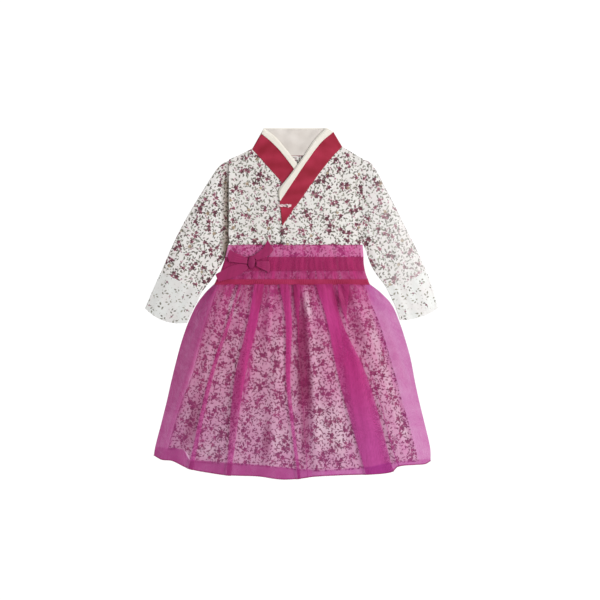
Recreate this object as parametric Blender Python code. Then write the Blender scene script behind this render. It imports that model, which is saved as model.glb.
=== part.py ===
"""A small child's floral hanbok dress, laid flat on a surface with its front up.

Frame: metres, +Z up, +Y towards the neck, +X to the wearer's left. The origin is on the
surface, under the middle of the dress. The tables below are in millimetres.

Every piece of cloth is a wall. Tubes (sleeves, cuffs, skirts, header, belt) are rings that have
been pressed flat: a flat back wall, a folded side, and a front wall that carries the gathers
and pleats. Panels (bodice, collar) are sheets that lie on one another on shared heights.
"""
import math
from typing import NamedTuple

import bmesh
import bpy
from mathutils import Vector

MM = 0.001

# ---- cloth ------------------------------------------------------------------------------------
COTTON = 1.4        # wall of the floral cotton
ORGANZA = 1.0       # wall of the organza
COLLAR = 1.8        # the doubled collar band
WHITE_BAND = 1.0    # the stiff white band on the collar's inner edge
PIPING = 1.8        # the corded seam at the waist
SEAM = 0.3          # pieces stay this far apart where they are sewn
LAY = 0.6           # and this far where one lies on another

# ---- heights at which the walls lie ----------------------------------------------------------
HEADER_BACK = 1.3           # underside of the header's back wall, over the belt's
WAIST_BACK = 2.7            # underside of the bodice's back, over the header's back wall
SKIRT_BACK = 1.4            # underside of the skirt's back, over the overskirt's
SKIRT_LOFT = 3.0            # rise of the skirt's front over its folded sides
SKIRT_WAIST_LOFT = 0.8
ARMHOLE_LIFT = 2.4          # lift of the fronts' edges over the sleeve roots
CHEST_LIFT = 3.4            # lift of the fronts between the armholes
NECK_LIFT = 1.8             # lift of the fronts beside the neck, over the neck lining
CROSSING_LIFT = 2.6         # more lift of the over front where the two collars cross
CROSSING = (6.0, 264.0)     # where they cross
CROSSING_REACH = 52.0

# ---- the length of the dress -------------------------------------------------------------------
WAIST_Y = 46.0              # waist seam of bodice and skirt
HEADER_TOP_Y = 122.5
HEADER_FOOT_Y = 50.3
OVERSKIRT_TOP_Y = 40.7
BELT_TOP_Y = 97.5
BELT_FOOT_Y = 68.5
BELT_MIDDLE_Y = (BELT_TOP_Y + BELT_FOOT_Y) / 2
LEFT_ARMHOLE_X = 149.1
RIGHT_ARMHOLE_X = -131.2
ARMHOLE_TUCK = 6.2          # how far a sleeve's root lies under the front's edge


class Side(NamedTuple):
    """Half widths of a flattened tube at one height."""
    y: float
    right: float
    left: float


WAIST_SIDES = (
    Side(122.5, -132.4, 149.1),
    Side(102.0, -137.6, 150.8),
    Side(81.0, -143.8, 151.8),
    Side(60.0, -152.2, 156.5),
    Side(40.7, -162.8, 164.8),
)
OVERSKIRT_SIDES = (
    Side(40.7, -162.8, 164.8),
    Side(24.0, -180.0, 186.5),
    Side(-2.0, -199.4, 210.6),
    Side(-39.0, -216.8, 227.2),
    Side(-77.0, -230.4, 239.8),
    Side(-115.0, -241.0, 250.4),
    Side(-165.0, -253.3, 260.0),
    Side(-203.0, -261.8, 268.2),
    Side(-253.0, -274.3, 280.4),
    Side(-303.0, -287.0, 291.8),
    Side(-332.0, -291.0, 292.6),
)
SKIRT_SIDES = (
    Side(46.0, -151.0, 152.5),
    Side(3.0, -166.0, 166.5),
    Side(-45.0, -182.5, 186.5),
    Side(-100.0, -196.0, 203.5),
    Side(-155.0, -210.5, 219.5),
    Side(-205.0, -231.0, 233.0),
    Side(-255.0, -246.5, 248.0),
    Side(-331.0, -266.0, 268.0),
)


class HemPoint(NamedTuple):
    """The hem's height at a place across the tube, 0 at the wearer's right side fold."""
    across: float
    y: float


OVERSKIRT_HEM = (
    HemPoint(0.00, -318.0),
    HemPoint(0.03, -327.0),
    HemPoint(0.07, -329.5),
    HemPoint(0.13, -345.5),
    HemPoint(0.19, -353.0),
    HemPoint(0.27, -359.0),
    HemPoint(0.39, -362.0),
    HemPoint(0.46, -368.0),
    HemPoint(0.52, -366.8),
    HemPoint(0.59, -361.4),
    HemPoint(0.70, -358.6),
    HemPoint(0.79, -357.0),
    HemPoint(0.86, -351.6),
    HemPoint(0.88, -341.0),
    HemPoint(0.94, -337.6),
    HemPoint(0.98, -336.0),
    HemPoint(1.00, -329.5),
)
SKIRT_HEM = (
    HemPoint(0.00, -306.0),
    HemPoint(0.07, -309.0),
    HemPoint(0.10, -330.5),
    HemPoint(0.25, -336.6),
    HemPoint(0.40, -343.0),
    HemPoint(0.60, -351.5),
    HemPoint(0.78, -346.0),
    HemPoint(0.90, -335.0),
    HemPoint(1.00, -331.0),
)


class Pleat(NamedTuple):
    """A knife pleat: its two edges at the waist, near the top, half way down and at the hem."""
    name: str
    edges: tuple


PLEAT_LEVELS = (0.0, 0.2, 0.5, 1.0)
OVERSKIRT_PLEATS = (
    Pleat("side", ((-110.0, -104.0), (-134.0, -127.0), (-172.0, -164.0), (-215.0, -206.0))),
    Pleat("right", ((-77.0, -57.0), (-91.0, -72.0), (-119.0, -98.0), (-135.0, -126.0))),
    Pleat("middle", ((-24.0, -6.0), (-12.0, 1.0), (-10.5, -2.0), (14.0, 20.0))),
    Pleat("left", ((50.0, 86.0), (76.0, 106.0), (100.0, 160.0), (157.0, 214.0))),
)
PLEAT_STEP = 2.0        # height from one of a pleat's layers to the next
PLEAT_RAMP = 7.0        # how far before its inner edge the cloth starts to climb a pleat


class Ridge(NamedTuple):
    """A soft fold that runs down a skirt, by its place across and its rise at both ends."""
    across: float
    half_width: float
    waist_rise: float
    hem_rise: float


OVERSKIRT_RIDGES = (
    Ridge(0.10, 0.050, 1.4, 2.6),
    Ridge(0.27, 0.040, 1.0, 2.8),
    Ridge(0.42, 0.045, 1.2, 2.4),
    Ridge(0.54, 0.040, 2.2, 1.6),
    Ridge(0.63, 0.045, 1.0, 2.8),
    Ridge(0.88, 0.050, 1.2, 2.4),
)
SKIRT_RIDGES = (
    Ridge(0.14, 0.060, -0.8, -2.2),
    Ridge(0.31, 0.055, -0.6, -2.0),
    Ridge(0.47, 0.050, -1.0, -1.8),
    Ridge(0.64, 0.060, -0.6, -2.2),
    Ridge(0.83, 0.060, -0.8, -2.0),
)
GATHERS = 14            # gathers across the front of the header and of the overskirt
GATHER_RISE = 1.0
GATHER_REACH = 75.0     # how far down the overskirt they run out


class SleeveSection(NamedTuple):
    """A flattened sleeve's section: outer edge, inner edge, height, and its bow down the arm."""
    outer: tuple
    inner: tuple
    height: float
    bow: float


RIGHT_SLEEVE = (
    SleeveSection((-125.0, 300.5), (-125.0, 127.0), 3.6, 0.0),
    SleeveSection((-141.0, 296.0), (-132.0, 124.8), 3.6, 0.0),
    SleeveSection((-156.5, 282.4), (-135.4, 111.6), 4.8, 0.0),
    SleeveSection((-183.8, 240.5), (-139.6, 95.6), 6.0, 0.0),
    SleeveSection((-209.0, 199.5), (-149.4, 77.8), 6.2, 0.0),
    SleeveSection((-234.2, 154.3), (-161.4, 59.2), 6.2, 0.0),
    SleeveSection((-255.2, 110.2), (-173.4, 42.4), 6.2, 0.0),
    SleeveSection((-274.1, 66.2), (-186.5, 25.8), 6.2, 1.0),
)
RIGHT_CUFF = (
    SleeveSection((-274.3, 65.9), (-186.7, 25.5), 6.2, 1.0),
    SleeveSection((-290.9, 29.0), (-202.0, -5.0), 6.0, 5.0),
    SleeveSection((-307.5, -9.5), (-219.5, -40.5), 5.6, 12.0),
)
LEFT_SLEEVE = (
    SleeveSection((142.9, 302.5), (142.9, 127.0), 3.6, 0.0),
    SleeveSection((160.0, 299.5), (149.8, 124.8), 3.6, 0.0),
    SleeveSection((174.0, 285.4), (155.6, 112.4), 4.8, 0.0),
    SleeveSection((195.6, 245.4), (162.6, 91.4), 6.0, 0.0),
    SleeveSection((218.8, 201.2), (169.8, 74.5), 6.2, 0.0),
    SleeveSection((241.9, 154.9), (178.4, 60.5), 6.2, 1.0),
    SleeveSection((263.9, 110.8), (187.9, 48.0), 6.2, 4.0),
    SleeveSection((281.6, 71.8), (196.6, 36.5), 6.2, 9.0),
)
LEFT_CUFF = (
    SleeveSection((281.8, 71.5), (196.8, 36.2), 6.2, 9.0),
    SleeveSection((298.0, 28.5), (214.6, 0.0), 6.0, 8.0),
    SleeveSection((307.5, -9.0), (227.6, -35.0), 5.6, 7.0),
)


class CollarSection(NamedTuple):
    """A collar's section: white band's inner edge, the band's joint, the collar's outer edge."""
    inner: tuple
    joint: tuple
    outer: tuple


UNDER_COLLAR = (
    CollarSection((27.0, 273.5), (17.0, 265.0), (-5.0, 235.5)),
    CollarSection((12.6, 293.4), (0.5, 288.5), (-25.5, 259.5)),
    CollarSection((-9.5, 321.5), (-21.5, 317.0), (-47.0, 283.5)),
    CollarSection((-32.0, 348.0), (-42.0, 338.5), (-64.5, 303.5)),
    CollarSection((-58.0, 368.0), (-62.8, 355.7), (-83.0, 323.6)),
)
OVER_COLLAR = (
    CollarSection((-25.6, 217.5), (-23.5, 214.5), (-19.5, 162.8)),
    CollarSection((-26.0, 239.0), (-9.5, 235.5), (14.0, 210.0)),
    CollarSection((-2.0, 271.0), (9.0, 263.0), (36.0, 241.5)),
    CollarSection((22.7, 305.6), (33.5, 299.5), (60.5, 275.5)),
    CollarSection((49.5, 345.5), (61.5, 336.5), (86.5, 308.0)),
    CollarSection((72.5, 368.0), (88.0, 359.7), (106.1, 328.7)),
)


class PanelRow(NamedTuple):
    """A row of a bodice panel, from its edge on the wearer's right to that on the left."""
    right: tuple
    left: tuple


UNDER_FRONT_BELOW = (
    PanelRow((-152.0, 46.3), (43.0, 46.3)),
    PanelRow((-138.5, 83.0), (43.0, 83.0)),
    PanelRow((-132.0, 101.0), (43.0, 102.0)),
    PanelRow((-127.5, 118.0), (43.0, 120.0)),
    PanelRow((-131.2, 140.0), (43.0, 150.0)),
    PanelRow((-131.2, 168.0), (33.0, 180.0)),
    PanelRow((-131.2, 194.0), (13.0, 208.0)),
)
OVER_FRONT_BELOW = (
    PanelRow((-10.0, 46.3), (154.0, 46.3)),
    PanelRow((-14.0, 83.0), (146.5, 83.0)),
    PanelRow((-16.0, 102.0), (145.3, 101.0)),
    PanelRow((-17.9, 120.0), (144.5, 118.0)),
    PanelRow((-19.3, 145.0), (149.1, 140.0)),
)
BACK_ROWS = (
    PanelRow((-152.0, 46.3), (154.0, 46.3)),
    PanelRow((-138.5, 83.0), (146.5, 83.0)),
    PanelRow((-127.5, 113.0), (144.5, 113.0)),
    PanelRow((-124.7, 126.0), (142.6, 126.0)),
    PanelRow((-124.7, 150.0), (142.6, 150.0)),
    PanelRow((-124.7, 196.0), (142.6, 196.0)),
    PanelRow((-124.7, 245.0), (142.6, 245.0)),
)
NECKLINE = (       # the back's top edge, from the right armhole over the neck to the left one
    (-124.7, 304.6), (-104.0, 314.5), (-83.3, 323.0), (-66.0, 312.5), (-36.0, 309.8),
    (11.6, 309.4), (58.0, 310.0), (88.0, 314.0), (106.3, 328.4), (124.0, 316.5), (142.6, 306.0),
)
SHOULDERS = (      # height of the shoulder fold, beside the neck and at the armholes
    (-131.2, 301.4), (-83.0, 323.4), (106.0, 328.6), (149.1, 303.4),
)
COLLAR_TOP = ((-58.0, 368.0), (76.0, 368.0))
COLLAR_BACK_WIDTH = 44.0
BAND_BACK_WIDTH = 12.6


class Crease(NamedTuple):
    """A soft fold of the bodice, from point to point."""
    start: tuple
    end: tuple
    half_width: float
    rise: float


BODICE_CREASES = (
    Crease((-118.0, 250.0), (-112.0, 140.0), 12.0, 1.4),
    Crease((132.0, 262.0), (126.0, 150.0), 13.0, 1.2),
    Crease((-104.0, 150.0), (-46.0, 196.0), 12.0, 0.9),
    Crease((-62.0, 208.0), (-26.0, 190.0), 7.0, 0.9),
    Crease((60.0, 205.0), (118.0, 160.0), 16.0, 1.0),
    Crease((40.0, 160.0), (70.0, 128.0), 14.0, 0.8),
)


class RibbonSection(NamedTuple):
    """A ribbon's section: its two edges and how far it stands off the belt."""
    one: tuple
    other: tuple
    rise: float


KNOT = RibbonSection((-91.0, 86.5), (-76.0, 86.5), 0.4)
KNOT_LENGTH = 27.0
KNOT_HEIGHT = 6.0
UPPER_TAIL = (
    RibbonSection((-80.0, 99.5), (-73.0, 90.5), 0.2),
    RibbonSection((-70.0, 107.0), (-55.0, 96.5), 0.6),
    RibbonSection((-60.0, 115.0), (-44.0, 103.0), 0.3),
    RibbonSection((-49.5, 132.5), (-37.5, 113.0), 0.0),
)
LOWER_TAIL = (
    RibbonSection((-93.0, 81.5), (-90.0, 74.0), 0.2),
    RibbonSection((-110.0, 82.5), (-98.0, 67.5), 0.4),
    RibbonSection((-131.0, 76.5), (-118.0, 55.5), 0.4),
    RibbonSection((-159.0, 61.0), (-153.0, 45.5), 0.0),
)
RIGHT_LOOP = (
    RibbonSection((-131.0, 87.5), (-91.5, 83.0), 0.2),
    RibbonSection((-134.0, 99.5), (-91.8, 88.5), 0.2),
    RibbonSection((-130.0, 112.0), (-91.0, 94.5), 0.2),
)
LEFT_LOOP = (
    RibbonSection((-74.0, 78.5), (-46.0, 64.5), 0.2),
    RibbonSection((-73.5, 83.5), (-44.5, 77.0), 0.2),
    RibbonSection((-74.0, 88.0), (-46.5, 88.5), 0.2),
)
LOOP_HEIGHT = 3.2
TAIL_WALL = 1.6             # a tail is the doubled ribbon
TAIL_CROWN = (0.0, 0.5, 0.8, 0.5, 0.0)

# ---- the collar's tie: a cloth loop over a knotted button -------------------------------------
TIE_START_X = -56.0
TIE_END_X = -1.5
TIE_Y = 205.0
TIE_HALF_WIDTH = 2.6
TIE_RADIUS = 1.4
BUTTON_X = -6.5
BUTTON_RADIUS = 3.4
BUTTON_FLATNESS = 0.8
BUTTON_SINK = 0.25          # how far the button settles between the loop's two strands


class Finish(NamedTuple):
    """A material's name, colour (linear), and roughness."""
    name: str
    colour: tuple
    roughness: float


FLORAL = Finish("floral cotton", (0.52, 0.47, 0.44), 0.85)
CUFF_CLOTH = Finish("pale cotton", (0.74, 0.74, 0.71), 0.85)
CRIMSON = Finish("crimson band", (0.42, 0.035, 0.07), 0.6)
CREAM = Finish("cream band", (0.85, 0.80, 0.72), 0.6)
LINING = Finish("neck lining", (0.72, 0.68, 0.62), 0.5)
MAGENTA = Finish("organza", (0.47, 0.08, 0.24), 0.45)
RIBBON = Finish("organza ribbon", (0.34, 0.028, 0.12), 0.45)
SEAM_RED = Finish("waist piping", (0.37, 0.03, 0.09), 0.6)


# ---- numbers ------------------------------------------------------------------------------------
def mix(start, end, part):
    """The value a part of the way from start to end."""
    return start + (end - start) * part


def ease(low, high, value):
    """0 below low, 1 above high, and a smooth step between."""
    part = min(1.0, max(0.0, (value - low) / (high - low)))
    return part * part * (3.0 - 2.0 * part)


def hump(distance, half_width):
    """A bell that is 1 in the middle and 0 from half_width on."""
    part = min(1.0, abs(distance) / half_width)
    return (1.0 - part * part) ** 2


def curve_at(places, values, place):
    """A smooth curve through values set at rising places."""
    last = len(places) - 1
    place = min(places[last], max(places[0], place))
    index = max(i for i in range(last) if places[i] <= place)
    step = places[index + 1] - places[index]

    def slope(i):
        low, high = max(0, i - 1), min(last, i + 1)
        return (values[high] - values[low]) / (places[high] - places[low])

    t = (place - places[index]) / step
    one, other = values[index], values[index + 1]
    return (one * (1 + 2 * t) * (1 - t) ** 2 + other * t * t * (3 - 2 * t)
            + step * (slope(index) * t * (1 - t) ** 2 - slope(index + 1) * t * t * (1 - t)))


def line_at(points, place):
    """Height of a line of (place, height) points, straight from point to point."""
    for one, other in zip(points, points[1:]):
        if place <= other[0]:
            return mix(one[1], other[1], max(0.0, (place - one[0]) / (other[0] - one[0])))
    return points[-1][1]


def side_at(sides, y):
    """A tube's two edges at a height."""
    rows = sides[::-1]
    places = [row.y for row in rows]
    return (curve_at(places, [row.right for row in rows], y),
            curve_at(places, [row.left for row in rows], y))


def rows_between(table, count, pick):
    """A smooth run of count points through one column of a table."""
    places = list(range(len(table)))
    points = [pick(row) for row in table]
    size = len(points[0])
    run = []
    for i in range(count):
        place = i * (len(table) - 1) / (count - 1)
        run.append(tuple(curve_at(places, [p[k] for p in points], place) for k in range(size)))
    return run


# ---- heights of the lying cloth -----------------------------------------------------------------
def back_level(y):
    """Underside of the bodice's back: on the surface, and over the header at the waist."""
    return WAIST_BACK * ease(150.0, 126.0, y) if y > 126.0 else WAIST_BACK


def crease_rise(x, y):
    """Rise of the bodice's soft folds at a point."""
    rise = 0.0
    for crease in BODICE_CREASES:
        start, end = Vector(crease.start), Vector(crease.end)
        along = end - start
        part = (Vector((x, y)) - start).dot(along) / along.length_squared
        nearest = start + along * min(1.0, max(0.0, part))
        distance = (Vector((x, y)) - nearest).length
        rise += crease.rise * hump(distance, crease.half_width * 1.8)
    return rise


def front_lift(x, y):
    """How far the fronts stand off the back: low at the seams, higher over the chest."""
    edge_gap = min(x - RIGHT_ARMHOLE_X, LEFT_ARMHOLE_X - x)
    edge_lift = ARMHOLE_LIFT * ease(112.0, 132.0, y)
    chest = mix(1.0, CHEST_LIFT, ease(60.0, 150.0, y))
    chest = mix(chest, NECK_LIFT, ease(270.0, 310.0, y))
    lift = mix(edge_lift, chest, ease(0.0, 40.0, edge_gap))
    shoulder_gap = line_at(SHOULDERS, x) - y
    neck_side = max(ease(30.0, 10.0, abs(x + 83.0)), ease(30.0, 10.0, abs(x - 106.0)))
    inside_neck = ease(-83.0, -70.0, x) * ease(106.0, 93.0, x)
    shoulder = mix(0.2, NECK_LIFT, max(neck_side, inside_neck))
    shoulder = mix(ARMHOLE_LIFT, shoulder, ease(4.0, 22.0, edge_gap))
    return mix(shoulder, lift, ease(0.0, 30.0, shoulder_gap))


def under_level(x, y):
    """Underside of the under front and its collar."""
    inner = ease(0.0, 30.0, min(x - RIGHT_ARMHOLE_X, LEFT_ARMHOLE_X - x))
    return back_level(y) + COTTON + 0.4 + front_lift(x, y) + crease_rise(x, y) * inner


def over_level(x, y):
    """Underside of the over front and its collar: over the under front, down at the side."""
    crossing = math.dist((x, y), CROSSING)
    raise_by = (COTTON + LAY) * ease(118.0, 62.0, x)
    return under_level(x, y) + raise_by + CROSSING_LIFT * hump(crossing, CROSSING_REACH)


def header_level(x, y):
    """Underside of the header's front wall, over both fronts."""
    raise_by = (COTTON + LAY) * ease(-90.0, -30.0, x) * ease(118.0, 62.0, x)
    return under_level(x, y) + raise_by + COTTON + LAY


def skirt_rise(x, y):
    """Height of the skirt's front wall over its folded sides: a low, soft dome."""
    right, left = side_at(SKIRT_SIDES, y)
    loft = mix(SKIRT_LOFT, SKIRT_WAIST_LOFT, ease(-10.0, 40.0, y))
    return loft * ease(0.0, 34.0, min(x - right, left - x))


def skirt_back_level(y):
    """Underside of the skirt's back wall, which rises to meet the bodice's."""
    return mix(SKIRT_BACK, WAIST_BACK, ease(8.0, 38.0, y))


def skirt_front_level(x, y):
    """Middle of the skirt's front wall without its folds."""
    return skirt_back_level(y) + COTTON * 1.5 + LAY + skirt_rise(x, y)


def overskirt_front_level(x, y):
    """Middle of the overskirt's front wall without its folds: over the skirt, down at the sides."""
    right, left = side_at(OVERSKIRT_SIDES, y)
    skirt_right, skirt_left = side_at(SKIRT_SIDES, y)
    if x < 0:
        outside, width = x - right, max(8.0, skirt_right - right)
    else:
        outside, width = left - x, max(8.0, left - skirt_left)
    floor = ORGANZA * 1.5 + LAY
    over_skirt = skirt_front_level(x, y) + COTTON / 2 + ORGANZA / 2 + LAY
    return mix(floor, over_skirt, ease(0.0, 0.85 * width, outside))


# ---- meshes -------------------------------------------------------------------------------------
def material(finish):
    """The Principled material of a finish, made once."""
    if finish.name in bpy.data.materials:
        return bpy.data.materials[finish.name]
    made = bpy.data.materials.new(finish.name)
    made.use_nodes = True
    shader = made.node_tree.nodes["Principled BSDF"]
    shader.inputs["Base Color"].default_value = (*finish.colour, 1.0)
    shader.inputs["Roughness"].default_value = finish.roughness
    return made


def finish_object(name, mesh_data, finish):
    """Link a bmesh as a smooth-shaded object with its finish, faces pointing out."""
    bmesh.ops.recalc_face_normals(mesh_data, faces=mesh_data.faces)
    mesh = bpy.data.meshes.new(name)
    mesh_data.to_mesh(mesh)
    mesh_data.free()
    mesh.shade_smooth()
    mesh.set_sharp_from_angle(angle=math.radians(50.0))
    mesh.materials.append(material(finish))
    made = bpy.data.objects.new(name, mesh)
    bpy.context.scene.collection.objects.link(made)
    return made


def skin(mesh_data, grid, closed):
    """Lay quads over a grid of vertices, joined round when closed."""
    for one, other in zip(grid, grid[1:]):
        count = len(one) if closed else len(one) - 1
        for k in range(count):
            nxt = (k + 1) % len(one)
            mesh_data.faces.new((one[k], one[nxt], other[nxt], other[k]))


def rim(grid):
    """The closed loop of points round a grid's edge."""
    return ([row[0] for row in grid] + grid[-1][1:-1] + [row[-1] for row in reversed(grid)]
            + grid[0][-2:0:-1])


def sheet(name, rows, level, wall, finish):
    """A flat panel: rows of (x, y) points, on a height function, as thick as its wall."""
    mesh_data = bmesh.new()
    low = [[mesh_data.verts.new(Vector((x, y, level(x, y))) * MM) for x, y in row] for row in rows]
    top = [[mesh_data.verts.new(Vector((x, y, level(x, y) + wall)) * MM) for x, y in row]
           for row in rows]
    skin(mesh_data, low, False)
    skin(mesh_data, top, False)
    skin(mesh_data, [rim(low), rim(top)], True)
    return finish_object(name, mesh_data, finish)


def side_fold(centre, low, high, steps=3):
    """Middle-line points round a folded side, from low to high, as (out, z) from its edge."""
    radius = (high - low) / 2
    turn = [math.pi * (i + 1) / (steps + 1) for i in range(steps)]
    return [(centre - radius * math.sin(a), low + radius * (1 - math.cos(a))) for a in turn]


def ring_path(width, front, back_z, back_count):
    """A closed middle line (across, z): front wall, one side, back wall, other side."""
    (start, start_z), (end, end_z) = front[0], front[-1]
    path = list(front)
    path += [(width - out, z) for out, z in reversed(side_fold(width - end, back_z, end_z))]
    for i in range(back_count + 1):
        path.append((mix(end, start, i / back_count), back_z))
    path += side_fold(start, back_z, start_z)
    return path


def offset_path(path, distance):
    """Move a closed path sideways, to its left when positive."""
    moved = []
    for i, (across, z) in enumerate(path):
        before, after = path[i - 1], path[(i + 1) % len(path)]
        one = Vector((across - before[0], z - before[1])).normalized()
        other = Vector((after[0] - across, after[1] - z)).normalized()
        normal = Vector((-(one.y + other.y), one.x + other.x)).normalized()
        moved.append((across + normal.x * distance, z + normal.y * distance))
    return moved


def tube(name, sections, wall, finish):
    """A pressed-flat tube. A section is (right end, left end, path, bow): the path's places run
    from one end to the other, and bow(part) moves a point down the tube."""
    mesh_data = bmesh.new()
    loops = {wall / 2: [], -wall / 2: []}
    for right, left, path, bow in sections:
        start, end = Vector(right), Vector(left)
        width = (end - start).length
        along = (end - start) / width
        down = Vector((along.y, -along.x))
        for distance, grid in loops.items():
            ring = []
            for across, z in offset_path(path, distance):
                place = start + along * across + down * bow(across / width)
                ring.append(mesh_data.verts.new(Vector((place.x, place.y, z)) * MM))
            grid.append(ring)
    outer, inner = loops[wall / 2], loops[-wall / 2]
    skin(mesh_data, outer, True)
    skin(mesh_data, inner, True)
    skin(mesh_data, [outer[0], inner[0]], True)
    skin(mesh_data, [outer[-1], inner[-1]], True)
    return finish_object(name, mesh_data, finish)


def no_bow(_part):
    """A straight section."""
    return 0.0


# ---- sleeves and cuffs --------------------------------------------------------------------------
SLEEVE_FRONT_POINTS = 11


def sleeve_tube(name, table, count, finish):
    """A sleeve or cuff, with a soft ridge down its middle and a hollow near its inner edge."""
    outer = rows_between(table, count, lambda row: row.outer)
    inner = rows_between(table, count, lambda row: row.inner)
    sizes = rows_between(table, count, lambda row: (row.height, row.bow))
    sections = []
    for one, other, (height, bow) in zip(outer, inner, sizes):
        width = math.dist(one, other)
        edge = 2 * COTTON + 0.7
        low, high = COTTON / 2, edge - COTTON / 2
        start = COTTON / 2 + (high - low) / 2
        front = []
        for i in range(SLEEVE_FRONT_POINTS):
            part = i / (SLEEVE_FRONT_POINTS - 1)
            across = mix(start, width - start, part)
            loft = ease(0.0, 22.0, min(across, width - across))
            dip = 0.3 * hump(part - 0.72, 0.16)
            front.append((across, high + (height - edge) * loft * (1.0 - dip)))
        path = ring_path(width, front, low, 4)
        side = 1.0 if table[0].outer[0] < 0 else -1.0
        sections.append((one, other, path, lambda part, b=bow * side: 4 * b * part * (1 - part)))
    return tube(name, sections, COTTON, finish)


# ---- waist: header, belt and piping ---------------------------------------------------------------
def waist_tube(name, heights, wall, finish, back_z, inset, level, points, rise=None):
    """A short tube round the waist on a height function of its front wall's underside."""
    sections = []
    for y in heights:
        right, left = side_at(WAIST_SIDES, y)
        right, left = right + inset, left - inset
        width = left - right
        low = back_z + wall / 2
        side_z = level(right, y) + wall / 2
        start = wall / 2 + (side_z - low) / 2
        front = []
        for i in range(points):
            part = i / (points - 1)
            across = mix(start, width - start, part)
            z = level(right + across, y) + wall / 2
            front.append((across, z + (rise(part, y) if rise else 0.0)))
        sections.append(((right, y), (left, y), ring_path(width, front, low, 6), no_bow))
    return tube(name, sections, wall, finish)


def gather_wave(part):
    """Uneven gathers across a front, 0 to 1."""
    wave = 0.5 - 0.5 * math.cos(2 * math.pi * GATHERS * part)
    return wave * (0.7 + 0.3 * math.sin(9.0 * part + 1.0)) * ease(0.0, 0.04, min(part, 1 - part))


def header_rise(part, y):
    """The header's gathers: free at its top and foot, pressed flat under the belt."""
    free = max(ease(BELT_TOP_Y, HEADER_TOP_Y, y), 0.8 * ease(BELT_FOOT_Y, HEADER_FOOT_Y, y))
    return GATHER_RISE * gather_wave(part) * free


def belt_level(x, y):
    """Underside of the belt's front wall, on the header's."""
    return header_level(x, y) + ORGANZA + LAY


def piping_level(x, y):
    """Underside of the piping's front, over the fronts above the seam and the skirt below it."""
    return max(header_level(x, y), skirt_front_level(x, y) + COTTON / 2 + LAY)


# ---- skirts ---------------------------------------------------------------------------------------
def hem_at(hem, part):
    """The hem's height at a place across."""
    return curve_at([row.across for row in hem], [row.y for row in hem], part)


def pleat_edges(pleat, part):
    """A pleat's two edges at a place down the skirt."""
    return tuple(curve_at(PLEAT_LEVELS, [edge[k] for edge in pleat.edges], part) for k in (0, 1))


def pleated_front(width, right, start, height, down, pleats, points):
    """The front wall's middle line with its knife pleats folded in, as (across, z)."""
    stops = [start]
    folds = []
    for pleat in pleats:
        one, other = (edge - right for edge in pleat_edges(pleat, down))
        folds.append((one, other))
        stops += [one - PLEAT_RAMP, other]
    stops.append(width - start)
    front = []
    for k in range(len(folds) + 1):
        low, high = stops[2 * k], stops[2 * k + 1]
        for i in range(points[k]):
            across = mix(low, high, i / (points[k] - 1))
            front.append((across, height(across)))
        if k == len(folds):
            break
        one, other = folds[k]
        middle = (one + other) / 2
        turn = PLEAT_STEP / 2
        front += [
            (one - PLEAT_RAMP * 0.45, height(one - PLEAT_RAMP * 0.45) + PLEAT_STEP * 1.2),
            (one, height(one) + PLEAT_STEP * 2.0),
            (middle, height(middle) + PLEAT_STEP * 2.05),
            (other - turn, height(other) + PLEAT_STEP * 2.0),
            (other, height(other) + PLEAT_STEP * 1.5),
            (other - turn, height(other) + PLEAT_STEP),
            (middle, height(middle) + PLEAT_STEP),
            (one + turn, height(one) + PLEAT_STEP),
            (one, height(one) + PLEAT_STEP * 0.5),
            (one + turn, height(one)),
            (middle, height(middle)),
        ]
    return front


def hem_bow(hem, top_y, down):
    """How far the places across a section lie below the straight line between its ends."""
    def bow(part):
        part = min(1.0, max(0.0, part))
        straight = mix(hem[0].y, hem[-1].y, part)
        return (straight - hem_at(hem, part)) * down
    return bow


def skirt_tube(name, top_y, sides, hem, levels, wall, finish, back_level_at, front_level, ridges,
               pleats, points):
    """A skirt from its waist to its curved hem, with ridges and, where it has them, pleats."""
    sections = []
    right_hem, left_hem = hem[0].y, hem[-1].y
    for down in levels:
        right_y, left_y = mix(top_y, right_hem, down), mix(top_y, left_hem, down)
        right, left = side_at(sides, right_y)[0], side_at(sides, left_y)[1]
        width = left - right

        def height(across):
            part = across / width
            y = mix(top_y, hem_at(hem, part), down)
            z = front_level(right + across, y)
            edge = ease(0.0, 0.05, min(part, 1 - part))
            for ridge in ridges:
                rise = mix(ridge.waist_rise, ridge.hem_rise, ease(0.0, 0.6, down))
                z += edge * rise * hump(part - ridge.across, ridge.half_width)
            if pleats:
                gathers = GATHER_RISE * ease(top_y - GATHER_REACH, top_y, y)
                z += edge * gathers * gather_wave(part)
            return z

        low = back_level_at(mix(right_y, left_y, 0.5)) + wall / 2
        start = wall / 2 + (height(0.0) - low) / 2
        front = pleated_front(width, right, start, height, down, pleats, points)
        path = ring_path(width, front, low, 8)
        sections.append(((right, right_y), (left, left_y), path, hem_bow(hem, top_y, down)))
    return tube(name, sections, wall, finish)


# ---- bodice ---------------------------------------------------------------------------------------
def across_row(one, other, count):
    """A straight row of points."""
    return [(mix(one[0], other[0], i / (count - 1)), mix(one[1], other[1], i / (count - 1)))
            for i in range(count)]


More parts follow.
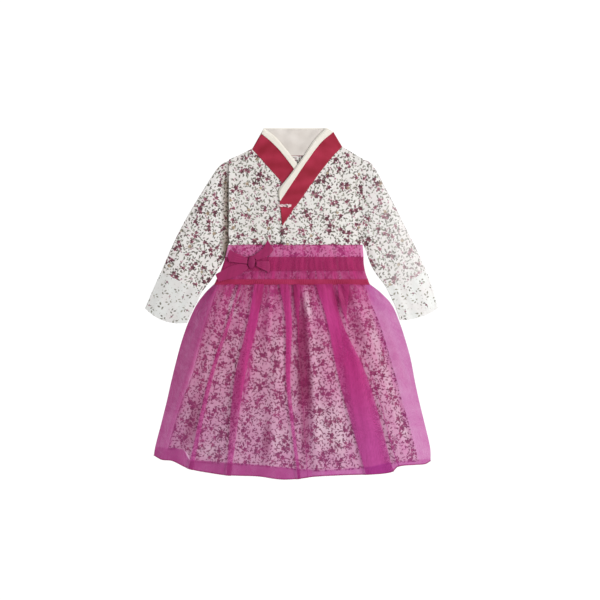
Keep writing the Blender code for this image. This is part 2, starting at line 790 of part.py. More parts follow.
def bodice_pieces():
    """Back, under front and over front; the fronts' neck edges follow their collars' edges."""
    stations = 9
    away = SEAM / math.sqrt(2)

    under_edge = rows_between(UNDER_COLLAR, stations, lambda row: row.outer)
    rows = [across_row(row.right, row.left, 10) for row in UNDER_FRONT_BELOW]
    for i, (x, y) in enumerate(under_edge):
        arm_y = mix(216.0, SHOULDERS[0][1], i / (stations - 1))
        rows.append(across_row((RIGHT_ARMHOLE_X, arm_y), (x - away, y - away), 10))
    sheet("bodice_front_right", rows, under_level, COTTON, FLORAL)

    over_edge = rows_between(OVER_COLLAR, stations, lambda row: row.outer)
    rows = [across_row(row.right, row.left, 11) for row in OVER_FRONT_BELOW]
    for i, (x, y) in enumerate(over_edge):
        arm_y = mix(160.0, SHOULDERS[3][1], i / (stations - 1))
        rows.append(across_row((x + away, y - away), (LEFT_ARMHOLE_X, arm_y), 11))
    sheet("bodice_front_left", rows, over_level, COTTON, FLORAL)

    rows = [across_row(row.right, row.left, len(NECKLINE)) for row in BACK_ROWS]
    rows.append([(x, mix(BACK_ROWS[-1].right[1], y, 0.5)) for x, y in NECKLINE])
    rows.append(list(NECKLINE))
    sheet("bodice_back", rows, lambda x, y: back_level(y), COTTON, FLORAL)


# ---- collar ---------------------------------------------------------------------------------------
def band_rows(edges, others, count):
    """Rows across a band between two edges."""
    return [across_row(one, other, count) for one, other in zip(edges, others)]


def collar_pieces():
    """The two collar bands with their white inner bands, and the back of the collar."""
    stations = 9
    for side, table, level in (("right", UNDER_COLLAR, under_level),
                               ("left", OVER_COLLAR, over_level)):
        inner = rows_between(table, stations, lambda row: row.inner)
        joint = rows_between(table, stations, lambda row: row.joint)
        outer = rows_between(table, stations, lambda row: row.outer)
        hidden = [tuple(mix(a, b, 0.78) for a, b in zip(j, i)) for j, i in zip(joint, inner)]
        sheet("collar_" + side, band_rows(hidden, outer, 5), level, COLLAR, CRIMSON)
        sheet("white_band_" + side, band_rows(inner, joint, 3),
              lambda x, y, base=level: base(x, y) + COLLAR + LAY, WHITE_BAND, CREAM)

    neck = [point for point in NECKLINE if -84.0 < point[0] < 107.0]
    neck = [(x, y + SEAM) for x, y in neck]
    top = across_row(*COLLAR_TOP, len(neck))
    part = COLLAR_BACK_WIDTH / (COLLAR_BACK_WIDTH + BAND_BACK_WIDTH)

    def between(amount):
        return [tuple(mix(a, b, amount) for a, b in zip(one, other))
                for one, other in zip(neck, top)]

    sheet("collar_back", [neck, between(part / 2), between(part)],
          lambda x, y: 0.0, COTTON, CRIMSON)
    band = [[(x, y + SEAM) for x, y in between(part)], top]
    sheet("white_band_back", band, lambda x, y: 0.0, COTTON, CREAM)
    lining = []
    for amount in (0.0, 0.33, 0.66, 0.985):
        row = between(amount)
        lining.append(across_edges(row, 1.2))
    sheet("neck_lining", lining, lambda x, y: COTTON + 0.4, 1.0, LINING)


def across_edges(row, inset):
    """A row drawn in at both ends."""
    (x0, y0), (x1, y1) = row[0], row[-1]
    return [(x0 + inset, y0)] + row[1:-1] + [(x1 - inset, y1)]


# ---- bow and tie ----------------------------------------------------------------------------------
def bow_level(x, y):
    """Height on which the bow lies: over the belt."""
    return belt_level(x, y) + ORGANZA + LAY


def ribbon_sheet(name, table, count):
    """A tail of the bow: a doubled ribbon that follows its sections."""
    mesh_rows = rows_between(table, count, lambda row: (*row.one, *row.other, row.rise))
    mesh_data = bmesh.new()
    low, top = [], []
    for x0, y0, x1, y1, rise in mesh_rows:
        places = [(x, y, bow_level(x, y) + rise + crown)
                  for (x, y), crown in zip(across_row((x0, y0), (x1, y1), 5), TAIL_CROWN)]
        low.append([mesh_data.verts.new(Vector(place) * MM) for place in places])
        top.append([mesh_data.verts.new(Vector((x, y, z + TAIL_WALL)) * MM)
                    for x, y, z in places])
    skin(mesh_data, low, False)
    skin(mesh_data, top, False)
    skin(mesh_data, [rim(low), rim(top)], True)
    return finish_object(name, mesh_data, RIBBON)


def bow_loop(name, table):
    """A loop of the bow: the ribbon turned back on itself, as a pressed tube."""
    sections = []
    for x0, y0, x1, y1, rise in rows_between(table, 5, lambda row: (*row.one, *row.other,
                                                                   row.rise)):
        width = math.dist((x0, y0), (x1, y1))
        z = max(bow_level(x0, y0), bow_level(x1, y1)) + rise
        low, high = z + ORGANZA / 2, z + LOOP_HEIGHT - ORGANZA / 2
        start = ORGANZA / 2 + (high - low) / 2
        front = [(mix(start, width - start, i / 6), high + 0.8 * math.sin(math.pi * i / 6))
                 for i in range(7)]
        sections.append(((x0, y0), (x1, y1), ring_path(width, front, low, 4), no_bow))
    return tube(name, sections, ORGANZA, RIBBON)


def bow_knot():
    """The knot: a soft barrel over the ribbon."""
    half_x, half_y, half_z = (KNOT.other[0] - KNOT.one[0]) / 2, KNOT_LENGTH / 2, KNOT_HEIGHT / 2
    base = bow_level(KNOT.other[0], KNOT.other[1]) + KNOT.rise
    centre = Vector((KNOT.one[0] + half_x, KNOT.one[1], base + half_z))
    mesh_data = bmesh.new()
    bmesh.ops.create_uvsphere(mesh_data, u_segments=14, v_segments=8, radius=1.0)
    for vert in mesh_data.verts:
        x, y, z = vert.co
        tuck = 1.0 + 0.12 * math.cos(6 * math.atan2(z, x))
        vert.co = (centre + Vector((x * half_x * tuck, y * half_y, z * half_z))) * MM
    return finish_object("bow_knot", mesh_data, RIBBON)


def tie_height(x):
    """Height of the tie's middle: on the under front, then up over the collar's edge."""
    under = under_level(x, TIE_Y) + COTTON
    over = over_level(max(x, -19.0), TIE_Y) + COLLAR
    return mix(under, over, ease(-38.0, -27.0, x)) + TIE_RADIUS + 0.4


def tie_pieces():
    """The cloth loop, a flattened ring of round cord, and the knotted button inside its end."""
    turn = 9
    centre_x = TIE_END_X - TIE_HALF_WIDTH
    straight = [TIE_START_X + TIE_HALF_WIDTH + (centre_x - TIE_START_X - TIE_HALF_WIDTH) * i / 10
                for i in range(11)]
    path = [(x, TIE_Y - TIE_HALF_WIDTH) for x in straight]
    for i in range(1, turn):
        angle = -math.pi / 2 + math.pi * i / turn
        path.append((centre_x + TIE_HALF_WIDTH * math.cos(angle),
                     TIE_Y + TIE_HALF_WIDTH * math.sin(angle)))
    path += [(x, TIE_Y + TIE_HALF_WIDTH) for x in reversed(straight)]
    for i in range(1, turn):
        angle = math.pi / 2 + math.pi * i / turn
        path.append((straight[0] + TIE_HALF_WIDTH * math.cos(angle),
                     TIE_Y + TIE_HALF_WIDTH * math.sin(angle)))
    mesh_data = bmesh.new()
    grid = []
    for i, (x, y) in enumerate(path):
        before, after = path[i - 1], path[(i + 1) % len(path)]
        along = Vector((after[0] - before[0], after[1] - before[1])).normalized()
        out = Vector((along.y, -along.x, 0.0))
        ring = []
        for k in range(8):
            angle = math.tau * k / 8
            offset = out * math.cos(angle) * TIE_RADIUS
            z = tie_height(x) + math.sin(angle) * TIE_RADIUS
            ring.append(mesh_data.verts.new(Vector((x + offset.x, y + offset.y, z)) * MM))
        grid.append(ring)
    skin(mesh_data, grid + [grid[0]], True)
    finish_object("tie_loop", mesh_data, FLORAL)

    mesh_data = bmesh.new()
    bmesh.ops.create_uvsphere(mesh_data, u_segments=12, v_segments=8, radius=BUTTON_RADIUS * MM)
    top = tie_height(BUTTON_X) + TIE_RADIUS + BUTTON_RADIUS * BUTTON_FLATNESS - BUTTON_SINK
    for vert in mesh_data.verts:
        vert.co = Vector((vert.co.x, vert.co.y, vert.co.z * BUTTON_FLATNESS)) + Vector(
            (BUTTON_X, TIE_Y, top)) * MM
    finish_object("tie_button", mesh_data, FLORAL)


# ---- the dress ------------------------------------------------------------------------------------
def build():
    """Every piece of the dress."""
    for old in list(bpy.data.objects):
        bpy.data.objects.remove(old)

    bodice_pieces()
    collar_pieces()
    sleeve_tube("sleeve_right", RIGHT_SLEEVE, 10, FLORAL)
    sleeve_tube("sleeve_left", LEFT_SLEEVE, 10, FLORAL)
    sleeve_tube("cuff_right", RIGHT_CUFF, 4, CUFF_CLOTH)
    sleeve_tube("cuff_left", LEFT_CUFF, 4, CUFF_CLOTH)

    skirt_tube("skirt", WAIST_Y, SKIRT_SIDES, SKIRT_HEM, (0.0, 0.1, 0.25, 0.42, 0.6, 0.8, 1.0),
               COTTON, FLORAL, skirt_back_level, skirt_front_level, SKIRT_RIDGES, (), (40,))
    skirt_tube("overskirt", OVERSKIRT_TOP_Y, OVERSKIRT_SIDES, OVERSKIRT_HEM,
               (0.0, 0.05, 0.12, 0.22, 0.35, 0.5, 0.67, 0.84, 1.0), ORGANZA, MAGENTA,
               lambda y: 0.0, overskirt_front_level, OVERSKIRT_RIDGES, OVERSKIRT_PLEATS,
               (10, 5, 7, 11, 14))
    belt_heights = (BELT_FOOT_Y, BELT_MIDDLE_Y, BELT_TOP_Y)
    waist_tube("header", (HEADER_FOOT_Y, 60.0, *belt_heights, 110.0, HEADER_TOP_Y),
               ORGANZA, MAGENTA, HEADER_BACK, 1.7, header_level, 43, header_rise)
    waist_tube("belt", belt_heights, ORGANZA, RIBBON, 0.0, 0.0, belt_level, 22)
    waist_tube("waist_piping", (OVERSKIRT_TOP_Y + SEAM, WAIST_Y, HEADER_FOOT_Y - SEAM), PIPING,
               SEAM_RED, 0.0, 0.5, piping_level, 22)

    bow_loop("bow_loop_right", RIGHT_LOOP)
    bow_loop("bow_loop_left", LEFT_LOOP)
    ribbon_sheet("bow_tail_upper", UPPER_TAIL, 6)
    ribbon_sheet("bow_tail_lower", LOWER_TAIL, 6)
    bow_knot()
    tie_pieces()


build()
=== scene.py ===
"""Visual model of a small child's floral hanbok dress, laid flat with its front up.

Every cloth is a thin shell on the middle of its solid's wall: metres, +Z up, +Y to the neck,
+X to the wearer's left, with tables in millimetres. The organza is one sheer sheet, its pleats
folded in, so that their three layers show denser.
"""
from __future__ import annotations

import logging
import math
from dataclasses import dataclass, replace
from enum import Enum
from typing import Callable, NamedTuple, Sequence, TypeVar

import bmesh
import bpy
import numpy as np
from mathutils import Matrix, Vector


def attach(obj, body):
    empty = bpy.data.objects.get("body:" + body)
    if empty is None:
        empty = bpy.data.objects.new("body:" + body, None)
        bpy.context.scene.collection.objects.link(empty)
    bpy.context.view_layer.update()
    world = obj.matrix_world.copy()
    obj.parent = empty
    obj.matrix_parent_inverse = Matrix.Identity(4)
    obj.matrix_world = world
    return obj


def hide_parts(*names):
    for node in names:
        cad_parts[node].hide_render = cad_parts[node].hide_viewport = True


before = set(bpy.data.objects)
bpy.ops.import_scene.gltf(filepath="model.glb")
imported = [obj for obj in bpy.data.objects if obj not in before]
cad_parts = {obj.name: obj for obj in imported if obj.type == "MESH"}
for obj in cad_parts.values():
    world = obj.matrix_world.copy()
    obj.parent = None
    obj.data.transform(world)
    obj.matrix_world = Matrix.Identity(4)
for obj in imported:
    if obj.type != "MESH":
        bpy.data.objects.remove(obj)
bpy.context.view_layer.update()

LOG = logging.getLogger("hanbok")
MM = 0.001
Array = np.ndarray
Node = bpy.types.Node
Socket = bpy.types.NodeSocket
Sockets = bpy.types.bpy_prop_collection
Level = Callable[[np.ndarray, np.ndarray], np.ndarray]
Rise = Callable[[np.ndarray], np.ndarray]
Numbers = float | Array
Point = tuple[float, float]
Row = TypeVar("Row")

# ---- cloth, as the solids have it ----
COTTON = 1.4
ORGANZA = 1
COLLAR = 1.8
PIPING = 1.8
LAY = 0.6
HEADER_BACK = 1.3
WAIST_BACK = 2.7
SKIRT_BACK = 1.4
SKIRT_LOFT = 3
SKIRT_WAIST_LOFT = 0.8
ARMHOLE_LIFT = 2.4
CHEST_LIFT = 3.4
NECK_LIFT = 1.8
CROSSING_LIFT = 2.6
CROSSING = (6, 264)
CROSSING_REACH = 52
LEFT_ARMHOLE_X = 149.1
RIGHT_ARMHOLE_X = -131.2
WAIST_Y = 46
HEADER_TOP_Y = 122.5
HEADER_FOOT_Y = 50.3
OVERSKIRT_TOP_Y = 40.7
BELT_TOP_Y = 97.5
BELT_FOOT_Y = 68.5
SEAM_FOOT_Y = 39.6
HEM_DEPTH = 16
SKIRT_LENGTH = 385


def rows_of(kind: Callable[..., Row], *rows: tuple) -> tuple[Row, ...]:
    """A table of one kind of row."""
    return tuple(kind(*row) for row in rows)


class Side(NamedTuple):
    """Half widths of a flattened tube at one height."""
    y: float
    right: float
    left: float


WAIST_SIDES = rows_of(Side, (122.5, -132.4, 149.1), (102, -137.6, 150.8), (81, -143.8, 151.8),
    (60, -152.2, 156.5), (40.7, -162.8, 164.8))
OVERSKIRT_SIDES = rows_of(Side, (40.7, -162.8, 164.8), (24, -180, 186.5), (-2, -199.4, 210.6),
    (-39, -216.8, 227.2), (-77, -230.4, 239.8), (-115, -241, 250.4), (-165, -253.3, 260),
    (-203, -261.8, 268.2), (-253, -274.3, 280.4), (-303, -287, 291.8), (-332, -291, 292.6))
SKIRT_SIDES = rows_of(Side, (46, -151, 152.5), (3, -166, 166.5), (-45, -182.5, 186.5), (-100, -196, 203.5),
    (-155, -210.5, 219.5), (-205, -231, 233), (-255, -246.5, 248), (-331, -266, 268))
OVERSKIRT_HEM = ((0, -318), (0.03, -327), (0.07, -329.5), (0.13, -345.5), (0.19, -353), (0.27, -359),
    (0.39, -362), (0.46, -368), (0.52, -366.8), (0.59, -361.4), (0.7, -358.6), (0.79, -357),
    (0.86, -351.6), (0.88, -341), (0.94, -337.6), (0.98, -336), (1, -329.5))
SKIRT_HEM = ((0, -306), (0.07, -309), (0.1, -330.5), (0.25, -336.6), (0.4, -343), (0.6, -351.5),
    (0.78, -346), (0.9, -335), (1, -331))


class Ridge(NamedTuple):
    """A soft fold that runs down a whole skirt, by its place across and its rise at both ends."""
    across: float
    half_width: float
    waist_rise: float
    hem_rise: float


OVERSKIRT_RIDGES = rows_of(Ridge, (0.1, 0.05, 1.4, 2.6), (0.27, 0.04, 1, 2.8), (0.42, 0.045, 1.2, 2.4),
    (0.54, 0.04, 2.2, 1.6), (0.63, 0.045, 1, 2.8), (0.88, 0.05, 1.2, 2.4))
SKIRT_RIDGES = rows_of(Ridge, (0.14, 0.06, -0.8, -2.2), (0.31, 0.055, -0.6, -2), (0.47, 0.05, -1, -1.8),
    (0.64, 0.06, -0.6, -2.2), (0.83, 0.06, -0.8, -2))
GATHERS = 14
GATHER_RISE = 1
GATHER_REACH = 75


class Fold(NamedTuple):
    """A crease down a skirt: its place across at both ends, the stretch of the length that it
    runs over, its half width as a share of the front's, and its rise in millimetres."""
    top: float
    foot: float
    start: float
    end: float
    half_width: float
    rise: float


SKIRT_FOLDS = rows_of(Fold, (0.06, 0.05, 0.05, 0.8, 0.03, 1.5), (0.2, 0.17, 0.02, 0.55, 0.02, 1.2),
    (0.26, 0.22, 0.3, 1, 0.04, 2.2), (0.36, 0.37, 0, 0.45, 0.02, 1.4), (0.42, 0.405, 0.3, 1, 0.045, 2.8),
    (0.5, 0.49, 0, 0.6, 0.018, -0.9), (0.55, 0.565, 0.02, 0.9, 0.026, -1.2),
    (0.588, 0.6, 0.02, 1, 0.034, 3.6), (0.66, 0.68, 0.1, 1, 0.11, 2.2), (0.73, 0.72, 0.25, 1, 0.03, -0.9),
    (0.8, 0.83, 0, 0.85, 0.034, 2.2), (0.9, 0.91, 0.1, 1, 0.03, 1.4))
SKIRT_BACK_FOLDS = rows_of(Fold, (0.12, 0.1, 0, 0.7, 0.03, 0.9), (0.28, 0.25, 0.2, 1, 0.035, 1.1),
    (0.45, 0.47, 0, 0.5, 0.025, 0.8), (0.58, 0.6, 0.3, 1, 0.04, 1.2), (0.74, 0.77, 0, 0.8, 0.028, 0.9),
    (0.9, 0.91, 0.15, 1, 0.03, 1))
OVERSKIRT_FOLDS = rows_of(Fold, (0.045, 0.04, 0.06, 0.75, 0.018, 0.8), (0.18, 0.2, 0, 0.4, 0.012, 0.6),
    (0.33, 0.31, 0.35, 1, 0.016, 0.8), (0.38, 0.385, 0.3, 1, 0.012, 0.9),
    (0.6, 0.585, 0.1, 0.9, 0.014, 0.8), (0.93, 0.945, 0.03, 1, 0.02, 1.1),
    (0.965, 0.985, 0.1, 0.9, 0.012, 0.5))


class Pleat(NamedTuple):
    """A knife pleat: its two edges and its layers' distance at each of its levels down."""
    one: tuple[float, ...]
    other: tuple[float, ...]
    step: tuple[float, ...] = (2, 2, 2, 2)
    levels: tuple[float, ...] = (0, 0.2, 0.5, 1)


OVERSKIRT_PLEATS = (Pleat((-110, -134, -172, -215), (-104, -127, -164, -206)),
    Pleat((-77, -91, -119, -135), (-57, -72, -98, -126)), Pleat((-24, -12, -10.5, 14), (-6, 1, -2, 20)),
    Pleat((5.3, 7.5, 13, 34), (17.9, 17.5, 15.2, 35.5), (1.6, 1.5, 0.6, 0.3), (0, 0.1, 0.22, 1)),
    Pleat((50, 76, 100, 157), (86, 106, 160, 214)),
    Pleat((97.7, 102, 115.5, 169.5, 224), (120.8, 119, 117.5, 171, 225.5), (1.6, 1.5, 0.4, 0.3, 0.3),
    (0, 0.08, 0.2, 0.5, 1)))
PLEAT_RAMP = 7


class SleeveSection(NamedTuple):
    """A flattened sleeve's section: outer edge, inner edge, height, and its bow down the arm."""
    outer: Point
    inner: Point
    height: float
    bow: float


RIGHT_SLEEVE = rows_of(SleeveSection, ((-125, 300.5), (-125, 127), 3.6, 0),
    ((-141, 296), (-132, 124.8), 3.6, 0), ((-156.5, 282.4), (-135.4, 111.6), 4.8, 0),
    ((-183.8, 240.5), (-139.6, 95.6), 6, 0), ((-209, 199.5), (-149.4, 77.8), 6.2, 0),
    ((-234.2, 154.3), (-161.4, 59.2), 6.2, 0), ((-255.2, 110.2), (-173.4, 42.4), 6.2, 0),
    ((-274.1, 66.2), (-186.5, 25.8), 6.2, 1))
RIGHT_CUFF = rows_of(SleeveSection, ((-274.3, 65.9), (-186.7, 25.5), 6.2, 1),
    ((-290.9, 29), (-202, -5), 6, 5), ((-307.5, -9.5), (-219.5, -40.5), 5.6, 12))
LEFT_SLEEVE = rows_of(SleeveSection, ((142.9, 302.5), (142.9, 127), 3.6, 0),
    ((160, 299.5), (149.8, 124.8), 3.6, 0), ((174, 285.4), (155.6, 112.4), 4.8, 0),
    ((195.6, 245.4), (162.6, 91.4), 6, 0), ((218.8, 201.2), (169.8, 74.5), 6.2, 0),
    ((241.9, 154.9), (178.4, 60.5), 6.2, 1), ((263.9, 110.8), (187.9, 48), 6.2, 4),
    ((281.6, 71.8), (196.6, 36.5), 6.2, 9))
LEFT_CUFF = rows_of(SleeveSection, ((281.8, 71.5), (196.8, 36.2), 6.2, 9), ((298, 28.5), (214.6, 0), 6, 8),
    ((307.5, -9), (227.6, -35), 5.6, 7))


class CollarSection(NamedTuple):
    """A collar's section: white band's inner edge, the band's joint, the collar's outer edge."""
    inner: Point
    joint: Point
    outer: Point


UNDER_COLLAR = rows_of(CollarSection, ((27, 273.5), (17, 265), (-5, 235.5)),
    ((12.6, 293.4), (0.5, 288.5), (-25.5, 259.5)), ((-9.5, 321.5), (-21.5, 317), (-47, 283.5)),
    ((-32, 348), (-42, 338.5), (-64.5, 303.5)), ((-58, 368), (-62.8, 355.7), (-83, 323.6)))
OVER_COLLAR = rows_of(CollarSection, ((-25.6, 217.5), (-23.5, 214.5), (-19.5, 162.8)),
    ((-26, 239), (-9.5, 235.5), (14, 210)), ((-2, 271), (9, 263), (36, 241.5)),
    ((22.7, 305.6), (33.5, 299.5), (60.5, 275.5)), ((49.5, 345.5), (61.5, 336.5), (86.5, 308)),
    ((72.5, 368), (88, 359.7), (106.1, 328.7)))


class PanelRow(NamedTuple):
    """A row of a bodice panel, from its edge on the wearer's right to that on the left."""
    right: Point
    left: Point


UNDER_FRONT_BELOW = rows_of(PanelRow, ((-152, 46.3), (43, 46.3)), ((-138.5, 83), (43, 83)),
    ((-132, 101), (43, 102)), ((-127.5, 118), (43, 120)), ((-131.2, 140), (43, 150)),
    ((-131.2, 168), (33, 180)), ((-131.2, 194), (13, 208)))
OVER_FRONT_BELOW = rows_of(PanelRow, ((-10, 46.3), (154, 46.3)), ((-14, 83), (146.5, 83)),
    ((-16, 102), (145.3, 101)), ((-17.9, 120), (144.5, 118)), ((-19.3, 145), (149.1, 140)))
BACK_ROWS = rows_of(PanelRow, ((-152, 46.3), (154, 46.3)), ((-138.5, 83), (146.5, 83)),
    ((-127.5, 113), (144.5, 113)), ((-124.7, 126), (142.6, 126)), ((-124.7, 150), (142.6, 150)),
    ((-124.7, 196), (142.6, 196)), ((-124.7, 245), (142.6, 245)))
NECKLINE = ((-124.7, 304.6), (-104, 314.5), (-83.3, 323), (-66, 312.5), (-36, 309.8), (11.6, 309.4),
    (58, 310), (88, 314), (106.3, 328.4), (124, 316.5), (142.6, 306))
SHOULDERS = ((-131.2, 301.4), (-83, 323.4), (106, 328.6), (149.1, 303.4))
COLLAR_TOP = ((-58, 368), (76, 368))
COLLAR_BACK_WIDTH = 44
BAND_BACK_WIDTH = 12.6


class Crease(NamedTuple):
    """A soft fold of a panel, from point to point."""
    start: Point
    end: Point
    half_width: float
    rise: float


BODICE_CREASES = rows_of(Crease, ((-118, 250), (-112, 140), 12, 1.4), ((132, 262), (126, 150), 13, 1.2),
    ((-104, 150), (-46, 196), 12, 0.9), ((-62, 208), (-26, 190), 7, 0.9), ((60, 205), (118, 160), 16, 1),
    ((40, 160), (70, 128), 14, 0.8))
UNDER_FRONT_CREASES = rows_of(Crease, ((-64, 191), (-36, 198), 3.6, -1.6),
    ((-35, 198), (-23, 162), 3.4, 1.2), ((-58, 183), (-34, 176), 5, 0.9), ((-92, 236), (-60, 214), 8, 0.7),
    ((-70, 168), (-66, 126), 7, 0.6), ((-36, 158), (-40, 124), 5, 0.6),
    ((-24.5, 156), (-20, 124), 3.4, -1.1))
OVER_FRONT_CREASES = rows_of(Crease, ((8, 196), (30, 136), 8, 0.8), ((86, 262), (112, 226), 9, 0.8),
    ((84, 150), (92, 118), 7, 0.6), ((6, 150), (10, 118), 6, 0.6), ((-16, 158), (-13, 118), 4, 1.3))
RIGHT_SLEEVE_CREASES = rows_of(Crease, ((10, 150), (80, 112), 12, 1.1), ((30, 168), (96, 140), 8, -0.8),
    ((60, 60), (150, 52), 10, 0.7), ((150, 84), (225, 70), 8, -0.7), ((170, 30), (240, 34), 9, 0.7),
    ((214, 92), (262, 66), 7, 0.6))
LEFT_SLEEVE_CREASES = rows_of(Crease, ((12, 146), (92, 108), 11, 1), ((26, 170), (84, 150), 8, -0.7),
    ((70, 44), (160, 40), 10, 0.7), ((140, 90), (220, 62), 9, -0.7), ((196, 24), (258, 30), 8, 0.6),
    ((222, 84), (266, 76), 7, 0.6))
CUFF_CREASES = rows_of(Crease, ((6, 30), (60, 22), 8, 0.6), ((14, 66), (70, 58), 8, -0.6))


class RibbonSection(NamedTuple):
    """A ribbon's section: its two edges and how far it stands off the belt."""
    one: Point
    other: Point
    rise: float


KNOT = RibbonSection((-91, 86.5), (-76, 86.5), 0.4)
KNOT_LENGTH = 27
KNOT_HEIGHT = 4.8
UPPER_TAIL = rows_of(RibbonSection, ((-80, 99.5), (-73, 90.5), 0.2), ((-70, 107), (-55, 96.5), 0.6),
    ((-60, 115), (-44, 103), 0.3), ((-49.5, 132.5), (-37.5, 113), 0))
LOWER_TAIL = rows_of(RibbonSection, ((-93, 81.5), (-90, 74), 0.2), ((-110, 82.5), (-98, 67.5), 0.4),
    ((-131, 76.5), (-118, 55.5), 0.4), ((-159, 61), (-153, 45.5), 0))
RIGHT_LOOP = rows_of(RibbonSection, ((-131, 87.5), (-91.5, 83), 0.2), ((-134, 99.5), (-91.8, 88.5), 0.2),
    ((-130, 112), (-91, 94.5), 0.2))
LEFT_LOOP = rows_of(RibbonSection, ((-74, 78.5), (-46, 64.5), 0.2), ((-73.5, 83.5), (-44.5, 77), 0.2),
    ((-74, 88), (-46.5, 88.5), 0.2))
LOOP_HEIGHT = 3.2
TAIL_WALL = 1.6

TIE_END_X = -1.5
TIE_Y = 205
TIE_RADIUS = 1.4
BUTTON_X = -6.5
BUTTON_RADIUS = 4.2


# ---- numbers ----
def mix(start: Numbers, end: Numbers, part: Numbers) -> Numbers:
    """The value a part of the way from start to end."""
    return start + (end - start) * part


def ease(low: float, high: float, value: Numbers) -> Numbers:
    """0 below low, 1 above high, and a smooth step between."""
    part = np.clip((value - low) / (high - low), 0, 1)
    return part * part * (3 - 2 * part)


def hump(distance: Numbers, half_width: Numbers) -> Numbers:
    """A bell that is 1 in the middle and 0 from half_width on."""
    part = np.minimum(1, np.abs(distance) / half_width)
    return (1 - part * part) ** 2


def through(places: Sequence[float], values: Sequence[float], at: Numbers) -> Array:
    """A smooth curve through values set at rising places.

    Args:
        places: Where the values are set, rising.
        values: One value a place.
        at: Where the curve is wanted.

    Returns:
        The curve's values there.
    """
    place, value = np.asarray(places, float), np.asarray(values, float)
    index = np.arange(len(place))
    low, high = np.maximum(index - 1, 0), np.minimum(index + 1, len(place) - 1)
    slope = (value[high] - value[low]) / (place[high] - place[low])
    at = np.clip(at, place[0], place[-1])
    i = np.clip(np.searchsorted(place, at, side="right") - 1, 0, len(place) - 2)
    step = place[i + 1] - place[i]
    t = (at - place[i]) / step
    return (value[i] * (1 + 2 * t) * (1 - t) ** 2 + value[i + 1] * t * t * (3 - 2 * t)
        + step * (slope[i] * t * (1 - t) ** 2 - slope[i + 1] * t * t * (1 - t)))


def shares(count: int) -> Array:
    """Count places from 0 to 1, evenly apart."""
    return np.linspace(0, 1, count)


def resampled(line: Array, count: int) -> Array:
    """A line of points with count of them instead, by straight steps between the old ones."""
    at = np.linspace(0, len(line) - 1, count)
    return np.column_stack([np.interp(at, range(len(line)), column) for column in line.T])


def run_of(points: Sequence[Sequence[float]], count: int) -> Array:
    """A smooth run of count points through a table's rows."""
    rows = np.asarray(points, float)
    at = np.linspace(0, len(rows) - 1, count)
    return np.column_stack([through(range(len(rows)), column, at) for column in rows.T])


def run_lengths(line: Array) -> Array:
    """How far along a line each of its points lies."""
    return np.append(0, np.cumsum(np.linalg.norm(np.diff(line, axis=0), axis=1)))


def sides_at(sides: Sequence[Side], y: Numbers) -> tuple[Array, Array]:
    """A tube's right and left edges at a height."""
    places, rights, lefts = zip(*sides[::-1])
    return through(places, rights, y), through(places, lefts, y)


def crease_rise(creases: Sequence[Crease], x: Numbers, y: Numbers) -> Numbers:
    """How far a panel's soft folds lift it at a point."""
    rise = 0 * x
    for crease in creases:
        (x0, y0), (x1, y1) = crease.start, crease.end
        reach = (x1 - x0) ** 2 + (y1 - y0) ** 2
        part = np.clip(((x - x0) * (x1 - x0) + (y - y0) * (y1 - y0)) / reach, 0, 1)
        distance = np.hypot(x - mix(x0, x1, part), y - mix(y0, y1, part))
        rise = rise + crease.rise * hump(distance, crease.half_width * 1.8)
    return rise


def fold_rise(folds: Sequence[Fold], part: Array, down: Numbers) -> Array:
    """How far a skirt's creases lift it at places across and down, both from 0 to 1."""
    rise = 0 * part
    for fold in folds:
        runs = ease(fold.start - 0.06, fold.start + 0.1, down)
        if fold.end < 1:
            runs = runs * ease(fold.end + 0.06, fold.end - 0.12, down)
        rise = rise + fold.rise * runs * hump(part - mix(fold.top, fold.foot, down), fold.half_width)
    return rise


def gather_wave(part: Array) -> Array:
    """Uneven gathers across a front, 0 to 1."""
    wave = 0.5 - 0.5 * np.cos(2 * math.pi * GATHERS * part)
    return wave * (0.7 + 0.3 * np.sin(9 * part + 1)) * ease(0, 0.04, np.minimum(part, 1 - part))


def fine_gathers(part: Array, count: float) -> Array:
    """Narrow gathers between the main ones, of uneven width and depth, from -1 to 1."""
    drift = 0.9 * np.sin(11 * part + 0.6) + 0.5 * np.sin(27 * part + 2)
    depth = 0.65 + 0.35 * np.sin(17 * part + 0.3) * np.sin(41 * part)
    return np.sin(2 * math.pi * (count * part + 0.35 * drift)) * depth


